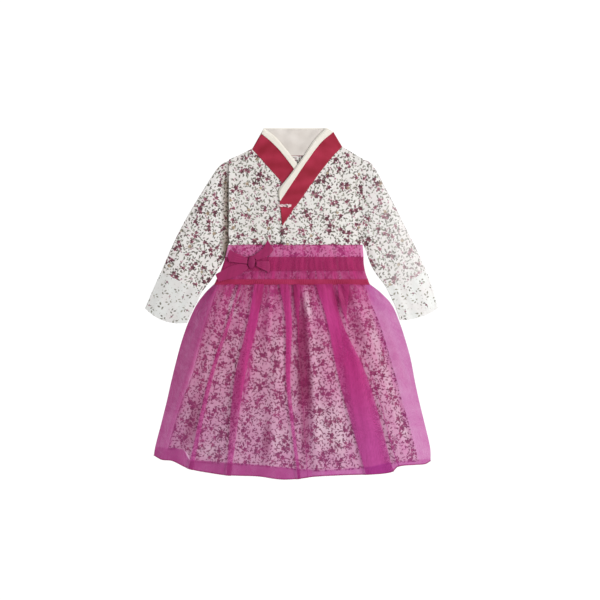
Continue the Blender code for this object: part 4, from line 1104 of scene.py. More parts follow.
@dataclass(frozen=True)
class FloralCotton(Finish):
    """Printed plain-weave cotton.

    Attributes:
        name: Its name.
        ground: The cloth's own colour.
        shade: Its deeper colour, in slubs and between threads.
        pattern: Its print.
        reads: Where the print finds its place.
        tuck: From where to where across painted shade darkens it where it tucks in under the bodice.
        light_washed: From where to where across painted light washes its print out, and how far.
        folded: Whether it has painted shade where the gathered skirt's folds turn away from the light.
        pitch: The weave's thread spacing.
        ripples: The height of its soft ripples, in tenths of a millimetre.
    """
    name: str
    ground: Colour
    shade: Colour
    pattern: Print
    reads: Reads = Reads.CLOTH
    tuck: tuple[float, float] | None = None
    light_washed: tuple[float, float, float] | None = None
    folded: bool = False
    pitch: float = 0.55
    ripples: float = 14

    def dress(self, recipe: Recipe, shader: Node) -> None:
        """Ground with slubs and soft darker stains, the print over it, weave and sheen, and where set,
        painted shade at a tuck and on the skirt's folds and a painted wash of light.
        """
        place = self.place(recipe, self.reads)
        cloud = recipe.noise(place, 0.02, 2)
        slub = recipe.noise(recipe.vector("MULTIPLY", place, (1, 0.14, 1)), 0.9, 1)
        ground = recipe.blend((cloud * 0.7 + slub * 0.5 - 0.3).held(), self.ground, self.shade)
        blush = recipe.noise(recipe.vector("ADD", place, (70, 30, 0)), 0.035, 2)
        ground = recipe.blend((blush * 2.4 - 0.9).held() * 0.5, ground, BLUSH)
        printed = recipe.node("ShaderNodeGroup", node_tree=self.pattern.group())
        recipe.fill(printed, Place=place, Ground=ground)
        weave = self.weave(recipe, place, self.pitch)
        colour = recipe.blend(weave * 0.1, printed.outputs[0], self.shade)
        # Painted shade where the sleeve tucks under the bodice's edge, stronger lower down and deepest at
        # the underarm.
        if self.tuck:
            across, height, _ = recipe.split(self.place(recipe, Reads.LYING))
            tuck_shade_mask = recipe.ramp(across, *self.tuck) * recipe.ramp(height, 285, 245, 0.35, 1)
            colour = recipe.blend(tuck_shade_mask, colour, PAINTED_TUCK_SHADE, "MULTIPLY")
            colour = recipe.blend(tuck_shade_mask * recipe.ramp(height, 140, 118), colour, PAINTED_TUCK_SHADE, "MULTIPLY")
        # Painted light: the print pales toward the lit outer end of the sleeve.
        if self.light_washed:
            across, _, _ = recipe.split(self.place(recipe, Reads.LYING))
            colour = recipe.blend(recipe.ramp(across, self.light_washed[0], self.light_washed[1], 0, self.light_washed[2]),
                colour, self.ground)
        # Painted shade on the skirt's folds that turn away from the light.
        if self.folded:
            colour = recipe.blend(Tone.total(recipe, PAINTED_SHADE_AWAY), colour, FOLD_SHADE, "MULTIPLY")
        recipe.fill(shader, Base_Color=colour, Roughness=0.88, Specular_IOR_Level=0.25, Sheen_Weight=0.12,
            Sheen_Roughness=0.5)
        ripple = recipe.noise(recipe.vector("MULTIPLY", place, (1, 0.45, 1)), 0.045, 2, 0.4)
        self.bump(recipe, shader, weave + ripple * self.ripples, 0.12)


@dataclass(frozen=True)
class SatinBand(Finish):
    """A smooth band of close twill, with a painted highlight on the pressed facets that catch the light.
    """
    name: str
    colour: Colour
    light: Colour
    deep: Colour
    roughness: float = 0.5
    sheen: float = 0.25
    gloss: float = 0.22
    reads: Reads = Reads.CLOTH

    def dress(self, recipe: Recipe, shader: Node) -> None:
        """Painted highlight that shifts from facet to facet, a diagonal twill, and a soft shine."""
        place = self.place(recipe, self.reads)
        x, y, _ = recipe.split(place)
        facet_highlight = recipe.noise(recipe.joined(x * 0.35 - y * 0.2, x * 0.5 + y), 0.032, 1)
        cloud = recipe.noise(place, 0.05, 3)
        # Painted highlight: facets lighten toward the light colour.
        colour = recipe.blend((facet_highlight * 2.2 + cloud * 0.8 - 1).held(), self.colour, self.light)
        twill = recipe.math("SINE", (x + y * 0.6) * (math.tau / 1.1)) * 0.5 + 0.5
        colour = recipe.blend(twill * 0.14, colour, self.deep)
        recipe.fill(shader, Base_Color=colour, Roughness=twill * 0.08 + self.roughness,
            Specular_IOR_Level=self.gloss, Sheen_Weight=self.sheen, Sheen_Roughness=0.35)
        self.bump(recipe, shader, twill + cloud * 2, 0.08)


class Beyond(NamedTuple):
    """How organza looks where no cotton lies under it: how much denser it is, its threads'
    colour, and the share of a layer that shows them."""
    denser: float
    thread: Colour
    cover: float = 0.24


@dataclass(frozen=True)
class Organza(Finish):
    """Sheer organza: shiny dyed threads with gaps between them, which tint what shows through.

    Attributes:
        thread: The threads' own colour.
        deep: Their colour where gathered close, and as painted shade on folds turned from the light.
        tint: What one layer lets through.
        cover: The share of a layer that shows its threads.
        density: How dense it is at its top and further down, where 1 is laid out flat.
        crowding: How much of the deep colour shows at its top and further down.
        run: Where down the cloth it changes, in millimetres.
        beyond: Its look past the cotton's edge, on the wearer's right and left; the right's denser, darker
            threads are painted shade.
        streak_glints: How much painted highlight and shade change its lightness from streak to streak.
        ragged: How far the streaks bring that change up and down, in millimetres.
    """
    name: str
    thread: Colour
    deep: Colour
    tint: Colour
    cover: float
    density: tuple[float, float] = (1, 1)
    crowding: tuple[float, float] = (0, 0)
    run: tuple[float, float] = (0, 60)
    beyond: tuple[Beyond, Beyond] | None = None
    reads: Reads = Reads.CLOTH
    streak_glints: float = 0.5
    ragged: float = 0

    @staticmethod
    def cotton_hem(recipe: Recipe, across: Signal) -> Signal:
        """The height of the cotton's hem at places across."""
        foot, half, low, rise = SKIRT_SIDES[-1], 300, 360, 60
        curve = recipe.node("ShaderNodeFloatCurve", {"Value": (across + half) * (1 / (2 * half))})
        points = curve.mapping.curves[0].points
        spots = [((mix(foot.right, foot.left, part) + half) / (2 * half), (height + low) / rise)
            for part, height in SKIRT_HEM]
        for spot in spots[1:-1]:
            points.new(*spot)
        points[0].location, points[-1].location = spots[0], spots[-1]
        curve.mapping.update()
        return Signal(recipe, curve.outputs[0]) * rise - low

    def dress(self, recipe: Recipe, shader: Node) -> None:
        """Threads over a tinted gap, denser where they crowd and where the cloth is gathered, with painted
        light and shade on the skirt's folds and along streaks.
        """
        place = self.place(recipe, self.reads)
        _, down, _ = recipe.split(place)
        across, height, _ = recipe.split(self.place(recipe, Reads.LYING))
        fan, _ = Tone.fan(recipe)
        streak = recipe.noise(recipe.joined(fan * 200, height * 0.04), 0.05, 3, 0.6)
        lower = recipe.ramp(down * -1 + (streak - 0.5) * self.ragged, *self.run)
        dense = lower * (self.density[1] - self.density[0]) + self.density[0]
        crowd = lower * (self.crowding[1] - self.crowding[0]) + self.crowding[0]
        thread = recipe.blend(crowd, self.thread, self.deep)
        cover = self.cover
        if self.beyond:
            right, left = self.beyond
            below = recipe.ramp(self.cotton_hem(recipe, across) - height, -6, -1)
            outside = recipe.math("MAXIMUM", below, recipe.ramp(across.size() + height * 0.3, 158, 176))
            # Painted shade: the wearer's right side, away from the light, gets the denser, darker look.
            leftness = recipe.ramp(across, -60, 120)
            other = recipe.blend(leftness, right.thread, left.thread)
            # Painted light: threads lighten and turn purpler lower down.
            low = recipe.ramp(height, -110, -320)
            other = recipe.blend(low * 0.3, other, LOW_THREADS)
            thread = recipe.blend(low * 0.7, thread, LOW_THREADS)
            thread = recipe.blend(outside, thread, other)
            dense = dense + outside * (leftness * (left.denser - right.denser) + right.denser)
            cover = (outside * (leftness * (left.cover - right.cover) + right.cover - self.cover)
                + self.cover)
            away, toward, close = (Tone.total(recipe, tones) for tones in (PAINTED_SHADE_AWAY, PAINTED_LIGHT_TOWARD, CLOSE))
            # Painted shade darkens and thickens the threads on folds turned from the light; painted light
            # thins them where the folds turn to it.
            thread = recipe.blend(away * 0.8, thread, self.deep)
            cover = cover * (1 - toward * 0.3)
            dense = dense + away * 0.25 - toward * (0.5 - outside * 0.4) + below * 0.5 + close * 0.8
        cloud = recipe.noise(place, 0.03, 3)
        grain = recipe.noise(recipe.vector("MULTIPLY", place, (1, 0.25, 1)), 0.35, 2)
        weave = self.weave(recipe, place, 0.8)
        uneven = ((cloud - 0.5) * 0.6 + (grain - 0.5) * 0.6 + (weave - 0.5) * 0.2
            + (streak - 0.5) * (crowd * 1.4 + 0.5))
        density = recipe.math("MAXIMUM", dense * (uneven + 1), 0.1)
        gap = recipe.node("ShaderNodeGamma", {"Color": self.tint, "Gamma": density})
        through = recipe.node("ShaderNodeBsdfTransparent", {"Color": gap.outputs[0]})
        # Painted highlight and shade: the threads lighten and darken from streak to streak.
        glint_streaked = recipe.vector("SCALE", thread, scale=(streak - 0.5) * self.streak_glints + 1)
        recipe.fill(shader, Base_Color=glint_streaked, Roughness=0.5, Specular_IOR_Level=0.2, Sheen_Weight=0.1,
            Sheen_Roughness=0.4)
        self.bump(recipe, shader, weave + grain, 0.06)
        mixed = recipe.node("ShaderNodeMixShader",
            {0: (density * cover).held(), 1: through.outputs[0], 2: shader.outputs[0]})
        recipe.feed(recipe.tree.nodes["Material Output"].inputs["Surface"], mixed.outputs[0])


@dataclass(frozen=True)
class Thread(Finish):
    """Twisted sewing thread."""
    name: str
    colour: Colour
    deep: Colour

    def dress(self, recipe: Recipe, shader: Node) -> None:
        """Fine strands that lie aslant, in two tones."""
        place = self.place(recipe, Reads.LYING)
        x, y, z = recipe.split(place)
        strand = recipe.math("SINE", (x + y + z) * 9) * 0.5 + 0.5
        recipe.fill(shader, Base_Color=recipe.blend(strand * 0.6, self.colour, self.deep),
            Roughness=strand * 0.15 + 0.5, Sheen_Weight=0.2)


FLORAL = FloralCotton("floral cotton", linear(232, 230, 226), linear(211, 207, 202), Print.DENSE)
# The right sleeve's copy: its ground is painted lighter than the bodice's to make up for the shade on this
# side, and it takes painted shade at its tuck.
FLORAL_RIGHT = replace(FLORAL, name="floral cotton right sleeve", ground=linear(240, 238, 235),
    shade=linear(222, 218, 214), tuck=(-152, -136))
# The left sleeve's copy, its print painted paler where the light falls strongest.
FLORAL_LEFT = replace(FLORAL, name="floral cotton left sleeve", ground=linear(231, 229, 227),
    light_washed=(150, 250, 0.3))
FLORAL_SKIRT = replace(FLORAL, name="floral cotton skirt", pattern=Print.SKIRT, folded=True)
FLORAL_TIE = FloralCotton("floral cotton tie", linear(240, 220, 220), linear(214, 160, 170), Print.SPARSE,
    Reads.LYING)
PALE_COTTON = FloralCotton("pale cotton", linear(230, 231, 229), linear(216, 217, 213), Print.SPARSE)
CRIMSON = SatinBand("crimson band", linear(140, 21, 44), linear(172, 42, 70), linear(118, 16, 38), 0.55,
    0.04)
CREAM = SatinBand("cream band", linear(231, 225, 214), linear(236, 231, 221), linear(212, 202, 188), 0.6,
    0.08)
LINING = SatinBand("neck lining", linear(206, 198, 191), linear(226, 219, 213), linear(192, 182, 174), 0.4,
    0.1)
TINT = (0.945, 0.775, 0.895, 1)
DEEP_THREADS = (0.4, 0.022, 0.135, 1)
# Past the cotton's edge the wearer's right is made denser and darker than the left: painted shade on the
# side away from the light.
SHEER = Organza("organza", (0.6, 0.048, 0.27, 1), DEEP_THREADS, TINT, 0.38, (1.7, 1), (0.85, 0), (-14, 62),
    (Beyond(1.35, (0.29, 0.012, 0.122, 1)), Beyond(0.45, (0.38, 0.015, 0.24, 1))), ragged=190)
HEADER_SHEER = Organza("organza header", (0.64, 0.046, 0.28, 1), DEEP_THREADS, TINT, 0.27, (1.5, 2.3),
    (0, 0.8), (22, 58), streak_glints=0.7, ragged=24)
RIBBON = Organza("organza ribbon", (0.43, 0.026, 0.14, 1), DEEP_THREADS, TINT, 0.34, (1.6, 1.6), streak_glints=1)
BOW_RIBBON = replace(RIBBON, name="organza bow", thread=(0.3, 0.018, 0.1, 1), cover=0.85)
ROLLED = Organza("organza rolled edge", (0.36, 0.02, 0.13, 1), DEEP_THREADS, TINT, 0.5, (1.3, 1.3),
    reads=Reads.LYING)
KNOTTED = SatinBand("organza knotted", linear(124, 16, 70), linear(140, 26, 84), linear(96, 10, 52), 0.5,
    0.04)
SEAM_RED = SatinBand("waist seam", linear(148, 24, 66), linear(172, 40, 88), linear(112, 14, 48), 0.55,
    0.06)
CRIMSON_THREAD = Thread("crimson thread", linear(170, 56, 78), linear(110, 22, 42))
WHITE_THREAD = Thread("white thread", linear(222, 217, 212), linear(190, 182, 174))
MAGENTA_THREAD = Thread("magenta thread", linear(150, 40, 96), linear(104, 20, 60))


# ---- geometry node trees ----
class LineTree:
    """Geometry Nodes that grow something along a line.

    Attributes:
        name: The tree's name.
        inputs: Its inputs with their kinds.
    """
    name: str
    inputs: dict[str, str]

    @classmethod
    def tree(cls) -> bpy.types.NodeTree:
        """The tree, made once."""
        if cls.name in bpy.data.node_groups:
            return bpy.data.node_groups[cls.name]
        tree = bpy.data.node_groups.new(cls.name, "GeometryNodeTree")
        for name, kind in (("Geometry", "Geometry"), *cls.inputs.items(), ("Finish", "Material")):
            tree.interface.new_socket(name, in_out="INPUT", socket_type="NodeSocket" + kind)
        tree.interface.new_socket("Geometry", in_out="OUTPUT", socket_type="NodeSocketGeometry")
        recipe = Recipe(tree)
        given = recipe.node("NodeGroupInput").outputs
        line = recipe.out("GeometryNodeMeshToCurve", {"Mesh": given["Geometry"]})
        made = cls.along(recipe, given, line)
        for kind in ("RealizeInstances", "SetShadeSmooth", "SetMaterial"):
            made = recipe.node("GeometryNode" + kind, {"Geometry": made.outputs[0]})
        recipe.feed(made.inputs["Material"], given["Finish"])
        recipe.node("NodeGroupOutput", {"Geometry": made.outputs[0]})
        return tree

    @staticmethod
    def along(recipe: Recipe, given: Sockets, line: Socket) -> Node:
        """The node whose geometry runs along the line."""
        raise NotImplementedError


class StitchTree(LineTree):
    """A row of stitches."""
    name = "stitches along a line"
    inputs = {"Pitch": "Float", "Length": "Float", "Thickness": "Float"}

    @staticmethod
    def along(recipe: Recipe, given: Sockets, line: Socket) -> Node:
        """A long bead at each pitch."""
        spots = recipe.node("GeometryNodeCurveToPoints", {"Curve": line, "Length": given["Pitch"]},
            mode="LENGTH").outputs
        bead = recipe.node("GeometryNodeMeshUVSphere", {"Segments": 6, "Rings": 4, "Radius": 0.5})
        size = recipe.joined(given["Thickness"], given["Thickness"], given["Length"])
        stitch = recipe.node("GeometryNodeTransform", {"Geometry": bead.outputs[0], "Scale": size})
        return recipe.node("GeometryNodeInstanceOnPoints",
            {"Points": spots["Points"], "Instance": stitch.outputs[0], "Rotation": spots["Rotation"]})


class CordTree(LineTree):
    """A lobed, twisted cord."""
    name = "cord along a line"
    inputs = {"Radius": "Float", "Lobes": "Int", "Lobe depth": "Float", "Twist": "Float"}

    @staticmethod
    def along(recipe: Recipe, given: Sockets, line: Socket) -> Node:
        """A star-shaped section swept along the line, turning as it goes."""
        length = recipe.node("GeometryNodeSplineParameter").outputs["Length"]
        turned = recipe.node("GeometryNodeSetCurveTilt",
            {"Curve": line, "Tilt": recipe.math("MULTIPLY", length, given["Twist"])})
        inner = recipe.math("MULTIPLY", given["Radius"], given["Lobe depth"])
        profile = recipe.node("GeometryNodeCurveStar",
            {"Points": given["Lobes"], "Inner Radius": inner, "Outer Radius": given["Radius"]})
        return recipe.node("GeometryNodeCurveToMesh",
            {"Curve": turned.outputs[0], "Profile Curve": profile.outputs[0], "Fill Caps": True})


def shown(name: str, data: bpy.types.ID) -> bpy.types.Object:
    """A new object in the scene."""
    made = bpy.data.objects.new(name, data)
    bpy.context.scene.collection.objects.link(made)
    return made


def grown(name: str, tree: bpy.types.NodeTree, line: Array, closed: bool,
        **inputs: object) -> bpy.types.Mesh:
    """A plain mesh that a Geometry Nodes tree grows along a line of points.

    Args:
        name: The mesh's name.
        tree: The tree.
        line: The points, in millimetres.
        closed: Whether the line goes round.
        **inputs: The tree's inputs by name, with _ for a space.

    Returns:
        The evaluated mesh.
    """
    seed = bpy.data.meshes.new(name + " line")
    count = len(line)
    edges = [(i, (i + 1) % count) for i in range(count if closed else count - 1)]
    seed.from_pydata((np.asarray(line) * MM).tolist(), edges, [])
    holder = shown(name + " line", seed)
    grow = holder.modifiers.new("grow", "NODES")
    grow.node_group = tree
    for item in tree.interface.items_tree:
        key = item.name.replace(" ", "_")
        if item.item_type == "SOCKET" and item.in_out == "INPUT" and key in inputs:
            grow[item.identifier] = inputs[key]
    evaluated = holder.evaluated_get(bpy.context.evaluated_depsgraph_get())
    mesh = bpy.data.meshes.new_from_object(evaluated)
    mesh.name = name
    bpy.data.objects.remove(holder)
    bpy.data.meshes.remove(seed)
    return mesh


# ---- setting pieces on the frame ----
def placed(name: str, mesh: bpy.types.Mesh, finish: Finish, slot: str,
        nodes: Sequence[str] = ()) -> bpy.types.Object:
    """Put a mesh on the frame as a piece with its finish.

    Args:
        name: The piece's name.
        mesh: Its mesh, in metres at its own place.
        finish: Its finish.
        slot: Not used.
        nodes: The CAD nodes that it stands for.

    Returns:
        The piece.
    """
    piece = shown(name, mesh)
    mesh.materials.clear()
    mesh.materials.append(finish.material())
    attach(piece, "root")
    if nodes:
        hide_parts(*nodes)
    LOG.info("%s: %d faces", name, len(mesh.polygons))
    return piece


def sewn(name: str, line: Array, thread: Finish, slot: str, pitch: float = 3.4, length: float = 2.5,
        thickness: float = 0.5, closed: bool = False) -> bpy.types.Object:
    """A row of stitches along a line, in millimetres."""
    mesh = grown(name, StitchTree.tree(), line, closed, Pitch=pitch * MM, Length=length * MM,
        Thickness=thickness * MM, Finish=thread.material())
    return placed(name, mesh, thread, slot)


def corded(name: str, line: Array, finish: Finish, slot: str, radius: float, lobes: int = 6,
        depth: float = 0.95, twist: float = 0, closed: bool = False,
        nodes: Sequence[str] = ()) -> bpy.types.Object:
    """A cord along a line: radius in millimetres, twist in radians a millimetre."""
    mesh = grown(name, CordTree.tree(), line, closed, Radius=radius * MM, Lobes=lobes, Lobe_depth=depth,
        Twist=twist / MM, Finish=finish.material())
    return placed(name, mesh, finish, slot, nodes)


def flat_area(grid: ClothGrid) -> float:
    """The grid's own area in square metres."""
    p = grid.points * MM
    if grid.closed:
        p = np.concatenate([p, p[:, :1]], axis=1)
    one, two = p[1:, :-1] - p[:-1, :-1], p[:-1, 1:] - p[:-1, :-1]
    return float(np.linalg.norm(np.cross(one, two), axis=2).sum())


def declared(piece: bpy.types.Object, grid: ClothGrid, rests_on: Sequence[str] = ()) -> None:
    """Log a piece's cut size and area, by the size that its grid has when it is laid out.

    Args:
        piece: The piece.
        grid: Its middle surface.
        rests_on: Not used.
    """
    span = np.ptp(grid.flat.reshape(-1, 2), axis=0)
    width, length = (round(float(s) * MM, 4) for s in span)
    area = round(min(flat_area(grid), width * length), 5)
    LOG.info("%s: cut %.3f x %.3f m, %.4f square metres", piece.name, width, length, area)


# ---- sleeves and cuffs ----
@dataclass
class Sleeve:
    """A sleeve and its cuff, pressed flat.

    Attributes:
        side: "right" or "left", the wearer's.
        sections: The sleeve's sections from the armhole down.
        cuff_sections: The cuff's sections.
        creases: The front's soft folds, as (down the arm, across) in millimetres.
        back_creases: The back's.
        finish: The sleeve's cloth.
        wall: The cloth's thickness.
    """
    side: str
    sections: tuple[SleeveSection, ...]
    cuff_sections: tuple[SleeveSection, ...]
    creases: tuple[Crease, ...]
    back_creases: tuple[Crease, ...]
    finish: Finish
    wall: float = 0.8
    rows: int = 130
    cuff_rows: int = 60
    front_points: int = 70
    back_points: int = 30
    cuff_length: float = 83
    hem_depth: float = 11

    def grid(self, stations: Sequence[SleeveSection], count: int, creases: Sequence[Crease],
            back_creases: Sequence[Crease]) -> ClothGrid:
        """The middle surface through a sleeve's or a cuff's sections.

        Args:
            stations: The sections.
            count: How many rows the grid has.
            creases: The front's soft folds.
            back_creases: The back's.

        Returns:
            The grid, from the first section to the last.
        """
        rows = run_of([(*s.outer, *s.inner, s.height, s.bow) for s in stations], count)
        side = 1 if stations[0].outer[0] < 0 else -1
        sections = []
        for row, down in zip(rows, run_lengths((rows[:, :2] + rows[:, 2:4]) / 2)):
            one, other, (height, bow) = row[:2], row[2:4], row[4:]
            width = float(np.linalg.norm(other - one))
            edge = 2 * COTTON + 0.7
            low, high = COTTON / 2, edge - COTTON / 2
            start = COTTON / 2 + (high - low) / 2
            part = shares(self.front_points)
            across = mix(start, width - start, part)
            loft = ease(0, 22, np.minimum(across, width - across))
            z = high + (height - edge) * loft * (1 - 0.3 * hump(part - 0.72, 0.16))
            z = z + loft * crease_rise(creases, np.full_like(across, down), across)

            def back_rise(share: Array, wide: float = width, at: float = down) -> Array:
                """How far the back is off the surface."""
                place = share * wide
                rise = crease_rise(back_creases, np.full_like(place, at), place)
                return np.maximum(rise, 0) * ease(0, 14, np.minimum(place, wide - place))

            path = ring_path(width, np.column_stack([across, z]), low, self.back_points, back_rise)
            sections.append(Section(one, other, path,
                lambda share, b=bow * side: 4 * b * share * (1 - share)))
        return unrolled(tube_grid(sections), self.front_points)

    def build(self) -> None:
        """Sleeve, cuff and the cuff's hem stitches, with their cut sizes logged."""
        sleeve = self.grid(self.sections, self.rows, self.creases, self.back_creases)
        tuck = ease(0.975, 1, shares(self.rows))[:, None]
        piece = placed("sleeve_cloth_" + self.side, sleeve.pushed(-0.3 * tuck).mesh("sleeve", self.wall),
            self.finish, "floral_cotton", ["sleeve_" + self.side])
        declared(piece, sleeve, ["bodice_cloth_back"])
        cuff = self.grid(self.cuff_sections, self.cuff_rows, CUFF_CREASES, ())
        cloth = placed("cuff_cloth_" + self.side, cuff.mesh("cuff", self.wall + 0.2), PALE_COTTON,
            "cuff_cotton", ["cuff_" + self.side])
        above = self.hem_depth / self.cuff_length
        row = int(np.argmin(np.abs(shares(self.cuff_rows) - 1 + above)))
        hem = cuff.pushed(self.wall / 2 + 0.2).points[row]
        stitches = sewn("cuff_stitches_" + self.side, hem, WHITE_THREAD, "cuff_cotton", closed=True)
        declared(cloth, cuff, ["sleeve_cloth_" + self.side])


# ---- bodice ----
@dataclass
class Bodice:
    """The bodice's back and its two crossed fronts."""
    wall: float = 0.8
    rows: int = 150
    points: int = 120
    back_rows: int = 120
    back_points: int = 110
    collar_tuck: float = 2
    armhole_rises: tuple[float, float] = (3, 1.2)

    def front_rows(self, below: Sequence[PanelRow], collar: Sequence[CollarSection], armhole_x: float,
            arm_heights: tuple[float, float]) -> Array:
        """A front's rows of points, its neck edge tucked under its collar's outer edge.

        Args:
            below: The rows below the collar.
            collar: The collar's sections.
            armhole_x: The armhole's place.
            arm_heights: The armhole edge's heights beside the collar.

        Returns:
            Rows x columns x 2.
        """
        stations = 9
        outer = run_of([s.outer for s in collar], stations)
        arm = np.column_stack([np.full(stations, armhole_x), np.linspace(*arm_heights, stations)])
        tuck = np.array([1 if armhole_x < 0 else -1, 1]) * self.collar_tuck / math.sqrt(2)
        neck = outer + tuck
        beside = (arm, neck) if armhole_x < 0 else (neck, arm)
        rights, lefts = np.concatenate([np.array(below).swapaxes(0, 1), beside], axis=1)
        return rows_across(run_of(rights, self.rows), run_of(lefts, self.rows), self.points)

    def front(self, side: str, rows: Array, level: Level, creases: Sequence[Crease],
            rests_on: str) -> ClothGrid:
        """One front as a piece; returns its grid."""
        def middle(x: Array, y: Array) -> Array:
            """Height of the cloth's middle."""
            right_gap, left_gap = x - RIGHT_ARMHOLE_X, LEFT_ARMHOLE_X - x
            calm = ease(0, 16, np.minimum(right_gap, left_gap))
            stand = (self.armhole_rises[0] * hump(right_gap, 15)
                + self.armhole_rises[1] * hump(left_gap, 12))
            stand = stand * ease(112, 134, y) * ease(300, 262, y)
            return level(x, y) + COTTON / 2 + crease_rise(creases, x, y) * calm + stand

        grid = panel_grid(rows, middle)
        piece = placed("bodice_cloth_front_" + side, grid.mesh("front", self.wall), FLORAL,
            "floral_cotton", ["bodice_front_" + side])
        declared(piece, grid, [rests_on])
        return grid

    def back(self) -> None:
        """The back, up to the neckline and the shoulder folds."""
        below = rows_across(*np.array(BACK_ROWS).swapaxes(0, 1), len(NECKLINE))
        neck = np.array(NECKLINE)
        last = neck.copy()
        last[:, 1] = (neck[:, 1] + BACK_ROWS[-1].right[1]) / 2
        rows = np.concatenate([below, last[None], neck[None]])
        rows = np.array([resampled(row, self.back_points) for row in rows])
        fine = np.stack([run_of(rows[:, j], self.back_rows) for j in range(self.back_points)], axis=1)
        grid = panel_grid(fine, lambda x, y: Lay.back(y) + COTTON / 2)
        piece = placed("bodice_cloth_back", grid.mesh("back", self.wall), FLORAL, "floral_cotton",
            ["bodice_back"])
        declared(piece, grid)

    def build(self) -> None:
        """Back, under front, over front and the over front's edge stitches."""
        self.back()
        under = self.front_rows(UNDER_FRONT_BELOW, UNDER_COLLAR, RIGHT_ARMHOLE_X, (216, SHOULDERS[0][1]))
        self.front("right", under, Lay.under, UNDER_FRONT_CREASES, "bodice_cloth_back")
        over = self.front_rows(OVER_FRONT_BELOW, OVER_COLLAR, LEFT_ARMHOLE_X, (160, SHOULDERS[3][1]))
        grid = self.front("left", over, Lay.over, OVER_FRONT_CREASES, "bodice_cloth_front_right")
        edge = grid.points[2:62, 2] + np.array([0, 0, self.wall / 2 + 0.1])
        sewn("front_edge_stitches", edge, WHITE_THREAD, "floral_cotton")


# ---- collar ----
@dataclass
class Collar:
    """The crossed crimson bands with their cream bands, and the collar's back with its lining."""
    stations: int = 90
    across: int = 26
    back_points: int = 80
    thickness: float = 1.7
    cream_thickness: float = 1.35

    def band(self, name: str, one: Array, other: Array, level: Level, lift: float, thick: float,
            finish: Finish, slot: str, node: str, turned: float = 0) -> ClothGrid:
        """A flat band with rounded edges between two runs of edge points.

        Args:
            name: The piece's name.
            one: Its one edge.
            other: Its other edge.
            level: What it lies on.
            lift: How far it stands off that.
            thick: Its thickness.
            finish: Its finish.
            slot: Not used.
            node: The CAD node that it stands for.
            turned: How far its one edge turns down.

        Returns:
            The grid of its upper face.
        """
        one, other = run_of(one, self.stations), run_of(other, self.stations)
        wide = np.linalg.norm(other - one, axis=1)[:, None]
        part = 0.5 - 0.5 * np.cos(math.pi * shares(self.across)[None, :])
        rows = mix(one[:, None], other[:, None], part[..., None])
        x, y = rows[..., 0], rows[..., 1]
        edge = np.minimum(part, 1 - part) * wide
        ends = shares(self.stations)[:, None]
        along = run_lengths(rows[:, 0])[-1]
        edge = np.minimum(edge, np.minimum(ends, 1 - ends) * along + 0.2)
        curl = thick / 2
        half = np.maximum(0.05, np.sqrt(np.maximum(0, curl ** 2 - np.maximum(0, curl - edge) ** 2)))
        middle = level(x, y) + lift + thick / 2 - turned * (1 - ease(0, 0.26, part))
        flat = np.dstack([(part - 0.5) * wide, -ends * along + 0 * part])
        top = np.dstack([x, y, middle + half])
        low = np.dstack([x, y, middle - half])[:, ::-1]
        ring = np.concatenate([top, low], axis=1)
        flat_ring = np.concatenate([flat, flat[:, ::-1], flat[:, :1]], axis=1)
        mesh = ClothGrid(ring, flat_ring, True).mesh(name)
        self.close_ends(mesh, *ring.shape[:2])
        piece = placed(name, mesh, finish, slot, [node])
        face = ClothGrid(top, flat)
        declared(piece, face)
        return face

    @staticmethod
    def close_ends(mesh: bpy.types.Mesh, rows: int, columns: int) -> None:
        """Close a band's two open ends."""
        shape = bmesh.new()
        shape.from_mesh(mesh)
        shape.verts.ensure_lookup_table()
        half = columns // 2
        for row, turn in ((0, False), (rows - 1, True)):
            for k in range(half - 1):
                ids = [row * columns + k, row * columns + k + 1, row * columns + columns - 2 - k,
                    row * columns + columns - 1 - k]
                shape.faces.new([shape.verts[i] for i in (ids[::-1] if turn else ids)])
        bmesh.ops.recalc_face_normals(shape, faces=shape.faces)
        for face in shape.faces:
            face.smooth = True
        shape.to_mesh(mesh)
        shape.free()

    def build(self) -> None:
        """All the collar's pieces."""
        for side, run, level in (("right", UNDER_COLLAR, Lay.under), ("left", OVER_COLLAR, Lay.over)):
            inner, joint, outer = np.array(run).swapaxes(0, 1)
            under_cream = np.append(np.full(len(run) - 2, 0.78), (0.5, 0.02))[:, None]
            crimson = self.band("collar_band_" + side, mix(joint, inner, under_cream), outer, level, 0.05,
                self.thickness, CRIMSON, "crimson_band", "collar_" + side)
            cream = self.band("cream_band_" + side, inner, joint, level, COLLAR + 0.05,
                self.cream_thickness, CREAM, "cream_band", "white_band_" + side, 1.8)
            lift = np.array([0, 0, 0.05])
            sewn("collar_stitches_" + side, self.inside(crimson, -2.2) + lift, CRIMSON_THREAD,
                "crimson_band", 3, 2.2, 0.42)
            sewn("cream_stitches_" + side, self.inside(cream, -1.6) + lift, WHITE_THREAD, "cream_band", 3,
                2.2, 0.4)
        self.neck()

    def inside(self, grid: ClothGrid, distance: float) -> Array:
        """The line on a band that lies a distance inside its last edge."""
        line = []
        for row in grid.points[2:-2]:
            off = np.linalg.norm(row[:, :2] - row[-1, :2], axis=1)
            at = np.interp(-distance, off[::-1], np.arange(len(row))[::-1])
            low = int(np.floor(at))
            high = min(low + 1, len(row) - 1)
            line.append(mix(row[low], row[high], at - low))
        return np.array(line)

    def neck(self) -> None:
        """The back of the collar, its cream edge, and the lining that shows in the neck."""
        neck = np.array([p for p in NECKLINE if -84 < p[0] < 107]) + np.array([0, 0.3])
        count = len(neck)
        top = np.linspace(COLLAR_TOP[0], COLLAR_TOP[1], count)
        share = COLLAR_BACK_WIDTH / (COLLAR_BACK_WIDTH + BAND_BACK_WIDTH)
        neck, top = resampled(neck, self.back_points), resampled(top, self.back_points)

        def rows(low: float, high: float, number: int, inset: float = 0) -> Array:
            amounts = np.linspace(low, high, number)
            made = np.array([mix(neck, top, amount) for amount in amounts])
            made[:, 0, 0] += inset
            made[:, -1, 0] -= inset
            return made

